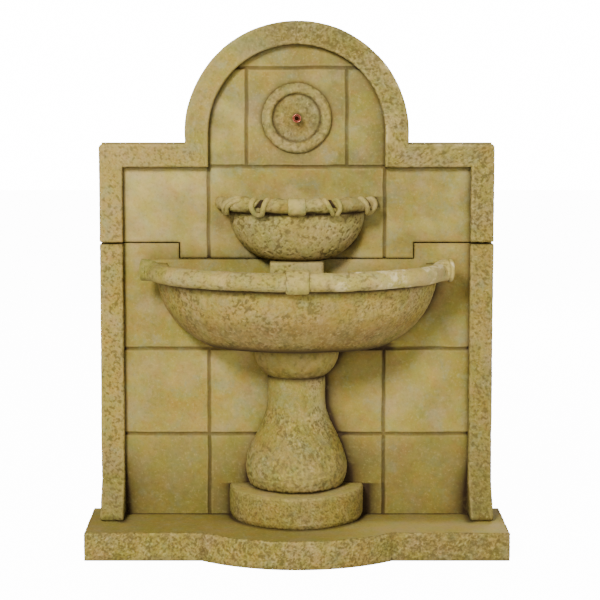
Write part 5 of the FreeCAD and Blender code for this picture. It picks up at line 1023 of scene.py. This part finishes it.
# The rims of the basin and the bowl.


def rim_of(reach, across, out, arcs, more, tail, height):
    """A rim of two tangent arcs that turn by the given angles and lead from its front middle to a place beside it,
    and of more turns after them. The arcs' radii are the answer of two linear equations."""
    one, two = math.radians(arcs[0]), math.radians(sum(arcs))
    radii = np.linalg.solve(
        [[math.sin(one), math.sin(two) - math.sin(one)], [1 - math.cos(one), math.cos(one) - math.cos(two)]],
        [across, reach - out],
    )
    return Rim(reach, [*zip(radii, arcs), *more], tail, height)


class Rim:
    """A rim's centre line in plan, measured from its front middle: turns of a radius and an angle, then a straight
    tail. The heading grows by the length gone over the radius."""

    def __init__(self, reach, turns, tail, height):
        lengths = [radius * math.radians(abs(angle)) for radius, angle in turns] + [tail]
        bends = [math.copysign(1 / radius, angle) for radius, angle in turns] + [0.0]
        ends = np.cumsum(lengths)
        self.half = ends[-1]
        self.height = height
        self.gone = np.linspace(0, self.half, 2000)
        pace = self.gone[1]
        middle = self.gone[1:] - pace / 2
        bend = np.array(bends)[np.clip(np.searchsorted(ends, middle), 0, len(bends) - 1)]
        self.heading = np.concatenate([[0.0], np.cumsum(bend * pace)])
        between = (self.heading[1:] + self.heading[:-1]) / 2
        self.x = np.concatenate([[0.0], np.cumsum(np.cos(between) * pace)])
        self.out = reach - np.concatenate([[0.0], np.cumsum(np.sin(between) * pace)])

    def at(self, length):
        """The places, headings and outward directions at lengths along the rim, negative to the left."""
        side = np.where(np.asarray(length) < 0, -1.0, 1.0)
        gone = np.abs(length)
        over = np.clip(gone - self.half, 0, None)
        heading = np.interp(gone, self.gone, self.heading)
        x = np.interp(gone, self.gone, self.x) + over * np.cos(heading)
        out = np.interp(gone, self.gone, self.out) - over * np.sin(heading)
        spot = joined(side * x, -TILE_FACE - out, self.height)
        ahead = joined(np.cos(heading), side * np.sin(heading), 0.0)
        outward = joined(side * np.sin(heading), -np.cos(heading), 0.0)
        return spot, ahead, outward


def upright(ahead):
    """The directions nearest to straight up that are square to a path."""
    return unit(np.array((0.0, 0.0, 1.0)) - ahead * ahead[:, 2:])


def carried_on(ahead):
    """Directions square to a path that may stand upright: each is the one before it, less its part along the path."""
    first = np.empty_like(ahead)
    side = np.cross(ahead[0], (1.0, 0.0, 0.0))
    for number, way in enumerate(ahead):
        side = unit(side - way * (side @ way))
        first[number] = side
    return first


def tube_rings(path, ahead, first, radius, sides):
    """Rings round a path, kept in front of the tiled face: each is a circle, the cosine times its first direction and
    the sine times the one square to that and to the path. There is one radius for each ring or for each point."""
    circle = on_circle(whole_turn(sides))[..., None]
    ring = circle[:, 0] * first[:, None] + circle[:, 1] * np.cross(ahead, first)[:, None]
    rings = path[:, None] + ring * radius.reshape(len(path), -1, 1)
    rings[..., 1] = np.minimum(rings[..., 1], -TILE_FACE - OFF_WALL)
    return rings


# The flange's profile: the distance from the roll's end and the radius.
FLANGE = [(0.0015, 0.001), (0.0015, 0.018), (0.0006, 0.0255), (0.0000, 0.030), (0.0014, 0.0338), (0.0042, 0.0355),
          (0.0085, 0.0355), (0.0112, 0.0345), (0.0126, 0.0330)]


def basin_roll(rim):
    """The basin's rolled rim: a tube along the rim's line. Towards each end it swells and rises by the curve
    3t^2 - 2t^3 into a round flange of a given profile."""
    total = rim.half + FLANGE_THICK
    flare_end = total - FLARE_END
    flange = np.array(FLANGE)
    gone = np.append(np.arange(0, flare_end - 0.0005, 0.003), flare_end)
    flare = smooth(total - FLARE, flare_end, gone)
    length = np.concatenate([gone, (total - flange[:, 0])[::-1]])
    radius = np.concatenate([BASIN_ROLL + (FLARE_RADIUS - BASIN_ROLL) * flare, flange[::-1, 1]])
    lift = np.concatenate([FLANGE_LIFT * flare, np.full(len(flange), FLANGE_LIFT)])
    length = np.concatenate([-length[:0:-1], length])
    radius, lift = (np.concatenate([values[:0:-1], values]) for values in (radius, lift))
    radius = np.where(length < 0, np.minimum(radius, FLARE_RADIUS), radius)
    spot, ahead, _ = rim.at(length)
    spot[:, 2] += lift + (cloudy(spot, 0.05, 110) - 0.5) * 0.003
    sides = 68
    rings = tube_rings(spot, ahead, upright(ahead), radius, sides)
    x = rings[..., 0]
    under = near(whole_turn(sides), math.pi, 0.5)
    neck = near(np.abs(length), total - 0.0135, 0.0022)[:, None]
    left, right = smooth(-0.36, -0.42, x), smooth(0.05, 0.20, x)
    worn = smooth(0.40, 0.62, cloudy(rings, 0.045, 111)) * (0.45 + 0.55 * smooth(-0.35, 0.1, x))
    # Painted shade under the roll and at the right flange's neck.
    casting("basin_roll", rings, "lower_basin", pitted, 0.0078, chisel=0.0009, swell=0.0014, moss=0.30 + 0.7 * left,
            hold=smooth(total - 0.012, total - 0.03, np.abs(length))[:, None], rust=0.1,
            grime=0.6 * under + 0.45 * neck * right, worn=(0.72 + 0.36 * right) * worn,
            tone=0.22 + 0.12 * worn + 0.46 * right - 0.50 * left, seed=112)


def clasp(name, half, centre, radius, node, seed):
    """The band across a roll: a short bar round it with rounded ends, open behind, that swells by a parabola."""
    side = radius * 0.66
    shape = bent([(-half, side), (-half, radius), (half, radius), (half, side)], [0.007, 0.007], 0.0022)
    across, out = shape[:, :1], shape[:, 1:]
    turn = np.linspace(-0.35, math.pi + 0.35, 70)
    out = out * (1 + 0.03 * (1 - (across / half) ** 2))
    rings = joined(across, centre[0] - out * np.sin(turn), centre[1] + out * np.cos(turn))
    # Painted shade on the clasp's sides, where it turns back to the roll.
    casting(name, rings, node, pitted, 0.009, chisel=0.0009, swell=0.0026, grime=0.6 * (out < radius * 0.88),
            worn=0.6, moss=0.45, tone=0.25, seed=seed)


# The basin and the bowl.


def two_lines(outer, inner):
    """A closed section from its outer and its inner line, its heights, and a choice between a value for the outer
    line and one for the inner."""
    section = np.concatenate([outer, inner])
    outside = np.arange(len(section)) < len(outer)
    return section, section[:, 1], lambda value, other: np.where(outside, value, other)


def oval_wall(name, section, squash, node, pattern, size, **marks):
    """The wall of a basin: a closed section of half width and height, swept half round the front. squash is the depth
    at each of its places as a share of the half width."""
    width, height = section.T
    turn = np.linspace(0, math.pi, int(math.pi * width.max() / FINE))[:, None]
    rings = joined(width * np.cos(turn), -TILE_FACE - width * squash * np.sin(turn), height)
    casting(name, rings, node, pattern, size, **marks)


def oval_floor(name, half, deep, low, high, hole, node, **marks):
    """A half-oval floor with a round drain: at each angle round the drain its rows run from the drain to the floor's
    edge, where the ray meets the oval, the root of a quadratic equation, or the wall."""
    way = on_circle(whole_turn(220))
    centre, radius = np.array(hole[:2]), hole[2]
    scale = np.array((1 / half, 1 / deep))
    a, b = way * scale, centre * scale
    qa, qb, qc = (a * a).sum(-1), 2 * (a @ b), b @ b - 1
    reach = (-qb + np.sqrt(qb * qb - 4 * qa * qc)) / (2 * qa)
    wall = np.where(way[:, 1] < -1e-6, -centre[1] / np.minimum(way[:, 1], -1e-6), 9.0)
    spread = radius + (np.minimum(reach, wall)[:, None] - radius) * np.linspace(0, 1, 60)
    plan = centre + way[:, None] * spread[..., None]
    top, under = (joined(plan[..., 0], -TILE_FACE - plan[..., 1], height) for height in (high, low))
    rings = np.concatenate([top, under[:, ::-1]], axis=1).transpose(1, 0, 2)
    rings = np.concatenate([rings, rings[:1]])
    casting(name, rings, node, caps=False, swell=0.0, **marks)


def back_slab(name, width, thick, low, high, node, seed):
    """A basin's back: rectangles against the tiled face, one above another, each as wide as the body's inside is at
    its height. width gives that half width."""
    z = spaced(low, high, 0.006)[:, None]
    ring = stepped([(-1, 0), (-1, 1), (1, 1), (1, 0), (-1, 0)], 0.08)[:-1]
    rings = joined(width(z) * ring[:, 0], -TILE_FACE - thick * ring[:, 1], z)
    # The back's dark mark is painted shade inside the vessel that it backs.
    casting(name, rings, node, swell=0.0, moss=0.5, tone=-0.35, grime=0.3, seed=seed)


def ledge(name, rim, mouth, low, high, ear, node, seed):
    """The ledge between a basin's mouth and its roll: at each place of the roll's line the section is the rectangle
    from there to the mouth's oval. Towards its ends it rises to the ear's height by the curve 3t^2 - 2t^3."""
    half, deep = mouth
    length = np.linspace(-rim.half, rim.half, 320)
    outer = rim.at(length)[0][:, :2] * np.array((1, -1)) - np.array((0, TILE_FACE))
    turn = np.arctan2(np.maximum(outer[:, 1], 0) / deep, outer[:, 0] / half)
    turn = 0.35 * np.linspace(math.pi, 0, len(length)) + 0.65 * turn
    turn[0], turn[-1] = math.pi, 0.0
    inner = on_circle(turn) * np.array(mouth)
    places_above, places_below = 14, 6
    share = np.concatenate([np.linspace(0, 1, places_above), np.linspace(1, 0, places_below)])
    on_top = np.arange(len(share)) < places_above
    plan = inner[:, None] + (outer - inner)[:, None] * share[:, None]
    start, top = ear
    rise = high + (top - high) * smooth(start, outer[-1, 0], np.abs(plan[..., 0]))
    rings = joined(plan[..., 0], -TILE_FACE - plan[..., 1], np.where(on_top, rise, low))
    # Painted shade along the ledge where it meets the roll.
    casting(name, rings, node, pitted, 0.010, chisel=0.0007, swell=0.0010, worn=0.25 * on_top,
            grime=0.6 * near(share, 1.0, 0.15) * on_top, moss=0.45, tone=-0.02, seed=seed)


def basin():
    """The lower basin: its bulging wall, floor, back, ledge, roll and clasp."""
    low, floor, top = BASIN_LOW.z, SLEEVE_HIGH.z, BASIN_TOP
    thick, mouth = BASIN_WALL, BASIN_HALF - BASIN_WALL
    side = bowed((0.280, low + 0.003), (BASIN_KNEE, low + BASIN_KNEE_RISE), (BASIN_HALF, top), FINE)
    outer = np.concatenate([stepped([(BASIN_FOOT - 0.006, low), (BASIN_FOOT, low)], FINE)[:-1],
                            bent([(BASIN_FOOT, low), (0.278, low + 0.001), side[3]], [0.02], FINE)[:-1], side[4:]])
    inner = bowed((BASIN_FOOT - thick / 5, floor), (BASIN_KNEE - thick, low + BASIN_KNEE_RISE + thick / 3),
                  (mouth, top), 0.006)[::-1]
    section, z, choice = two_lines(outer, inner)

    def mixed(points, size, seed):
        """Pits on the left that give way to crooked ridges on the right."""
        right = smooth(-0.05, 0.28, points[..., 0] + 0.25 * (noise(points, 0.06, seed) - 0.5))
        return pitted(points, size, seed) * (1 - right) + worms(points, size * 1.15, seed) * right

    def tone(rings):
        """Paler in the middle and on the right, and darker towards the foot: painted shade on the underside."""
        x = rings[..., 0]
        return choice(-0.16 + 0.14 * near(x, 0.02, 0.12) * smooth(0.7, 0.8, z) + 0.45 * smooth(0.05, 0.25, x)
                      - 1.30 * smooth(low + 0.13, low + 0.04, z), -0.25)

    # Painted shade under the roll, along the foot and in the corner by the wall, and a little over the inside.
    oval_wall("basin_wall", section, BASIN_SQUASH, "lower_basin", mixed, 0.0080,
              chisel=choice(0.0013 * smooth(low + 0.001, low + 0.02, z), 0.0005), swell=0.0022,
              grime=lambda rings: choice(near(z, top - 0.008, 0.009) + near(z, low, 0.016)
                                         + 0.5 * shade_by_wall(rings), 0.25),
              worn=choice(0.25 * near(z, low + 0.05, 0.04), 0.0), moss=choice(0.30, 0.5), tone=tone,
              rust=choice(0.2 + 1.2 * near(z, low + 0.045, 0.050), 0.2), seed=120)
    hole = ((SLEEVE_LOW.x + SLEEVE_HIGH.x) / 2, -(SLEEVE_LOW.y + SLEEVE_HIGH.y) / 2 - TILE_FACE,
            (SLEEVE_HIGH.x - SLEEVE_LOW.x) / 2)
    reach = BASIN_FOOT - thick / 5 + 0.003
    oval_floor("basin_floor", reach, reach * BASIN_SQUASH, low, floor, hole, "lower_basin", moss=0.45, tone=-0.4,
               seed=121)
    back_slab("basin_back", lambda z: np.interp(z, inner[::-1, 1], inner[::-1, 0]) + 0.006, BASIN_BACK, floor,
              BASIN_BACK_TOP, "lower_basin", 122)
    rim = rim_of(BASIN_REACH, BASIN_TURN, BASIN_TURN_OUT, BASIN_ARCS, [(BASIN_CURL, -BASIN_CURL_ANGLE)], BASIN_TAIL,
                 BASIN_RIM)
    ledge("basin_ledge", rim, (mouth, mouth * BASIN_SQUASH), top - 0.001, BASIN_RIM + BASIN_ROLL / 3,
          (EAR_START, EAR_TOP), "lower_basin", 123)
    basin_roll(rim)
    clasp("basin_clasp", 0.034, (-TILE_FACE - BASIN_REACH + 0.002, BASIN_RIM), BASIN_ROLL + 0.0065, "lower_basin",
          124)


def bowl_squash(height):
    """The bowl's depth as a share of its half width: it grows towards the foot as the cube of the distance below the
    rim."""
    low, top = BOWL_LOW.z, BOWL_TOP
    below = np.clip(1 - (height - low) / (top - low), 0, 1)
    return BOWL_SQUASH + (BOWL_FOOT_SQUASH - BOWL_SQUASH) * below ** 3


def dotted(points, size, seed):
    """Small round pits, some way apart, in a slightly uneven skin: pits lie where a noise is very high."""
    pits = smooth(0.69, 0.86, noise(points, size, seed))
    pits = np.clip(pits + 0.9 * smooth(0.69, 0.86, noise(points, size * 0.6, seed + 1)), 0, 1)
    return np.clip(0.14 + 0.94 * cloudy(points, size, seed + 2) - 0.62 * pits, 0, 1)


def bowl():
    """The upper bowl: its wall, floor, ledge, roll, ribbon and clasp."""
    low, top = BOWL_LOW.z, BOWL_TOP
    side = bowed((BOWL_FOOT, low), (BOWL_KNEE, low + BOWL_KNEE_RISE), (BOWL_HALF, top), 0.0024)
    inner = side[side[:, 1] > BOWL_FLOOR] - np.array((BOWL_WALL, 0.0))
    outer = np.concatenate([stepped([(BOWL_FOOT - 0.03, low), (BOWL_FOOT, low)], 0.006)[:-1], side])
    floor = [(inner[0, 0] - 0.004, BOWL_FLOOR), (0.02, BOWL_FLOOR), (0.02, low)]
    section, z, choice = two_lines(outer, np.concatenate([inner[::-2], floor]))

    def left(rings):
        """How far to the left a place lies."""
        return smooth(0.0, -0.12, rings[..., 0])

    def grime(rings):
        """Painted shade under the roll, thicker at its dark gaps, at the foot and by the wall."""
        gap = sum(near(rings[..., 0], place, 0.016) for place in SHADED_GAPS_ACROSS)
        painted_shade = near(z, top - 0.008, 0.005 + 0.007 * gap) + 0.9 * near(z, low, 0.009) + 0.5 * shade_by_wall(rings)
        return choice(painted_shade, 0.25)

    oval_wall("bowl_wall", section, bowl_squash(z), "upper_bowl", dotted, 0.0094,
              chisel=choice(0.0022 * smooth(low, low + 0.012, z), 0.0004), swell=0.0020,
              hold=np.where(z < low + 1e-6, 0.0, 1.0), grime=grime, worn=choice(0.2, 0.0),
              moss=lambda rings: choice(0.48 + 0.4 * left(rings), 0.5),
              tone=lambda rings: choice(0.12 + 0.56 * smooth(0.0, 0.12, rings[..., 0]) + 0.15 * left(rings), -0.25),
              rust=choice(0.2 + 0.5 * near(z, low + 0.01, 0.03), 0.2), seed=130)
    mouth = BOWL_HALF - BOWL_WALL
    back_slab("bowl_back", lambda z: np.interp(z, inner[:, 1], inner[:, 0]) + 0.006, BOWL_WALL, BOWL_FLOOR, top,
              "upper_bowl", 131)
    rim = rim_of(BOWL_REACH, BOWL_SPREAD, 0.0, BOWL_ARCS, [], BOWL_TAIL, BOWL_RIM)
    ledge("bowl_ledge", rim, (mouth, BOWL_HALF * BOWL_SQUASH - BOWL_WALL), top - 0.001, BOWL_RIM + BOWL_ROLL / 3,
          (BOWL_REACH, BOWL_RIM + BOWL_ROLL / 3), "upper_bowl", 132)
    bowl_roll(rim)
    ribbons(rim)
    clasp("bowl_clasp", 0.027, (-TILE_FACE - BOWL_REACH + 0.002, BOWL_RIM), BOWL_ROLL + 0.0058, "upper_bowl", 133)


# The ribbon's loops: for each its side and its places, a length along the rim and an angle round the roll, from
# behind the top over the front to the bottom and back.
LOOPS = {
    "near_left": (-1, [(0.122, -22), (0.125, 18), (0.128, 55), (0.1285, 90), (0.125, 125), (0.119, 152), (0.111, 165),
                       (0.102, 155), (0.096, 125), (0.092, 88), (0.088, 52), (0.083, 16), (0.079, -22)]),
    "near_right": (1, [(0.076, -22), (0.078, 18), (0.082, 54), (0.089, 90), (0.098, 125), (0.104, 153), (0.110, 165),
                       (0.116, 151), (0.120, 120), (0.120, 85), (0.117, 50), (0.111, 18), (0.105, -20)]),
    "far_left": (-1, [(0.156, -15), (0.173, 5), (0.191, 30), (0.206, 65), (0.218, 108), (0.226, 146), (0.221, 160),
                      (0.212, 140), (0.204, 105), (0.194, 74), (0.182, 52), (0.168, 38), (0.154, 20)]),
    "far_right": (1, [(0.189, -18), (0.193, 22), (0.199, 60), (0.206, 98), (0.214, 135), (0.224, 158), (0.234, 148),
                      (0.241, 112), (0.241, 72), (0.235, 35), (0.227, -5)]),
}
# Where the roll is thin inside a loop: the length along the rim, the width, and the slant from top to bottom.
HOLES = ((-0.110, 0.0085, -0.0128), (0.102, 0.0072, 0.0120), (-0.206, 0.006, -0.012), (0.219, 0.008, 0.009))
# Where a gap under the roll is painted in shadow: along the rim, and across the bowl.
SHADED_GAPS, SHADED_GAPS_ACROSS = (-0.213, -0.084, 0.040, 0.174), (-0.194, -0.083, 0.040, 0.166)
# The ribbon's radius.
RIBBON = 0.0073


def bowl_roll(rim):
    """The bowl's roll. Its radius falls inside each loop of the ribbon, as a bell curve about a line that slants from
    top to bottom, and swells a little between."""
    length = np.concatenate([-np.arange(0.0025, rim.half, 0.0025)[::-1], np.arange(0, rim.half, 0.0025)])
    sides = 60
    turn = whole_turn(sides)
    lean = np.interp(turn, [0, math.pi, 2 * math.pi], [-1, 1, -1])
    place = length[:, None]
    pinch = np.max([near(place, centre + slope * lean, wide) for centre, wide, slope in HOLES], axis=0)
    under = near(turn, math.pi, 0.6)
    angle = np.where(turn > math.pi, turn - 2 * math.pi, turn)
    slit_shadow = pinch * smooth(-0.7, -0.3, angle) * smooth(2.2, 1.7, angle)
    pinch = pinch * smooth(0.2, 0.8, angle) * smooth(2.8, 2.2, angle)
    gap = sum(near(place, centre, 0.015) for centre in SHADED_GAPS)
    bulge = 0.0042 * near(np.abs(place), 0.163, 0.022) + 0.0030 * near(np.abs(place), 0.058, 0.020)
    radius = (BOWL_ROLL + bulge - 0.0025 * gap * under) * (1 - 0.6 * pinch)
    spot, ahead, _ = rim.at(length)
    spot[:, 2] += bulge[:, 0]
    rings = tube_rings(spot, ahead, upright(ahead), radius, sides)
    worn = smooth(0.40, 0.64, cloudy(rings, 0.035, 141))
    # Painted shade under the roll, darker at the gaps, and deep in the slits inside the ribbon's loops.
    casting("bowl_roll", rings, "upper_bowl", pitted, 0.0085, chisel=0.0010, swell=0.0016,
            grime=(0.7 + 0.9 * gap) * under + 1.4 * smooth(0.15, 0.50, slit_shadow), worn=0.6 * worn, moss=0.50, tone=-0.22,
            rust=0.25 * (1 - worn), seed=142)


def ribbons(rim):
    """The ribbon's loops: tubes along smooth lines over the roll's surface, whose lowest part hangs off it."""
    for name, (sign, spots) in LOOPS.items():
        line = flowing(spots, 110)
        spot, _, outward = rim.at(sign * line[:, 0])
        around = np.radians(line[:, 1])[:, None]
        steps = np.arange(len(line))
        ends = smooth(0, 14, steps) * smooth(0, 14, steps[::-1])
        out = (BOWL_ROLL + RIBBON * (0.35 - 1.5 * (1 - ends)))[:, None]
        path = spot + out * (outward * np.sin(around) + np.array((0, 0, 1.0)) * np.cos(around))
        path[:, 2] -= 0.004 * smooth(105, 165, line[:, 1])
        ahead = unit(np.gradient(path, axis=0))
        swell = 1 + 0.10 * np.sin(np.linspace(0, 9, len(path)))
        rings = tube_rings(path, ahead, carried_on(ahead), RIBBON * swell, 20)
        casting("ribbon_" + name, rings, "upper_bowl", crumbly, 0.007, chisel=0.0004, swell=0.0008,
                worn=0.5, moss=0.45, tone=0.02, seed=143)


def riser():
    """The block under the bowl: rings of a hollow-backed outline, one above another, whose top edge is rounded."""
    half, front, back, wall, corner, edge = RISER_HIGH.x, -RISER_LOW.y, -RISER_HIGH.y, 0.020, 0.009, 0.006
    low, top = RISER_LOW.z, RISER_HIGH.z
    loop = bent([(-half, back), (-half, front), (half, front), (half, back)], [corner, corner], 0.003)
    hollow = stepped([(half - wall, back), (half - wall, front - wall), (-half + wall, front - wall),
                      (-half + wall, back)], 0.012)
    ring = np.concatenate([loop, hollow])
    edge_turn = np.linspace(0, math.pi / 2, 6)
    z = np.concatenate([np.arange(low, top - edge, 0.003), top - edge + edge * np.sin(edge_turn)])[:, None]
    outer = np.arange(len(ring)) < len(loop)
    away = np.sign(ring - np.array((0.0, (front + back) / 2))) * outer[:, None]
    plan = ring - away * rounded_end(top - z, edge)[..., None]
    rings = joined(plan[..., 0], -plan[..., 1], z)
    # Painted shade along the riser's top edge under the bowl and over its hollow.
    casting("riser_casting", rings, "bowl_riser", pitted, 0.010, chisel=0.0014 * outer * smooth(top, top - 0.004, z),
            swell=0.0, grime=0.5 * near(z, top, 0.003) * outer + 0.4 * ~outer,
            worn=0.6 * near(z, top - 0.004, 0.006) * outer, moss=0.5, tone=0.60, seed=150)


# Carried-over CAD pieces.


def dress_nodes():
    """Give each carried-over CAD node the finish of its slot."""
    for row in frame["record"]["subparts"]:
        held = frame["nodes"][row["node"]].data.materials
        held.clear()
        held.append(FINISHES[row["material_slot"]])


# The studio.

# How bright the sky and the floor are to the camera, the sky's light, and half the floor's side.
SKY_SEEN, FLOOR_SEEN, SKY_LIGHT, FLOOR_HALF = 16.0, 13.5, 0.36, 14.0
WHITE, FLOOR_COLOUR, LAMP_COLOUR = (1.0, 1.0, 1.0, 1), (0.93, 0.93, 0.92, 1), (1.0, 0.97, 0.92)
# Each lamp's name, place, aim, power in watts and side.
LAMPS = (("key", (-1.7, -4.5, 3.7), (0, -0.2, 0.8), 415, 1.1), ("fill", (3.4, -3.4, 1.4), (0, -0.2, 0.8), 65, 2.5),
         ("back", (2.4, 4.4, 2.8), (0, 0, 0.8), 160, 2.5))
CAMERA_PLACE, CAMERA_DOWN = (-0.0426, -5.4204, 1.480), 5.57
LENS, LENS_SHIFT, SENSOR = 107.51, (0.0293, -0.12), 36


def studio():
    """A pale floor, a soft key light from the upper left, a fill from the right and an even pale sky that is brighter
    to the camera than to the stone."""
    floor = bpy.data.meshes.new("floor")
    corners = [(x * FLOOR_HALF, y * FLOOR_HALF, 0) for x, y in ((-1, -1), (1, -1), (1, 1), (-1, 1))]
    floor.from_pydata(corners, [], [(0, 1, 2, 3)])
    pale, tree, shader = new_material("floor")
    shader.inputs["Base Color"].default_value = FLOOR_COLOUR
    shader.inputs["Roughness"].default_value = 0.9
    shader.inputs["Emission Color"].default_value = WHITE
    seen = shader_node(tree, "ShaderNodeLightPath").outputs["Is Camera Ray"]
    tree.links.new(sum_of(tree, "MULTIPLY", seen, FLOOR_SEEN), shader.inputs["Emission Strength"])
    floor.materials.append(pale)
    new_object("floor", floor)
    for name, spot, aim, power, side in LAMPS:
        lamp = bpy.data.lights.new(name, "AREA")
        lamp.energy = power
        lamp.size = side
        lamp.color = LAMP_COLOUR
        held = new_object(name, lamp)
        held.location = spot
        held.rotation_euler = (Vector(aim) - Vector(spot)).to_track_quat("-Z", "Y").to_euler()
    world = bpy.data.worlds.new("sky")
    bpy.context.scene.world = world
    world.use_nodes = True
    tree = world.node_tree
    light = tree.nodes["Background"]
    light.inputs["Color"].default_value = WHITE
    light.inputs["Strength"].default_value = SKY_LIGHT
    seen = shader_node(tree, "ShaderNodeBackground", in_Color=WHITE, in_Strength=SKY_SEEN)
    mix = shader_node(tree, "ShaderNodeMixShader")
    tree.links.new(shader_node(tree, "ShaderNodeLightPath").outputs["Is Camera Ray"], mix.inputs[0])
    tree.links.new(light.outputs[0], mix.inputs[1])
    tree.links.new(seen.outputs[0], mix.inputs[2])
    tree.links.new(mix.outputs[0], tree.nodes["World Output"].inputs["Surface"])


def camera():
    """The photograph's view: a long lens at eye height, a little left of the middle."""
    lens = bpy.data.cameras.new("camera")
    lens.sensor_width = SENSOR
    lens.lens = LENS
    lens.shift_x, lens.shift_y = LENS_SHIFT
    held = new_object("camera", lens)
    held.location = CAMERA_PLACE
    held.rotation_euler = (math.radians(90 - CAMERA_DOWN), 0, 0)
    bpy.context.scene.camera = held


base_slab()
lower_tiles()
upper_tiles()
wall_frame()
wall_backs()
pedestal()
rosette()
basin()
bowl()
riser()
dress_nodes()
studio()
camera()
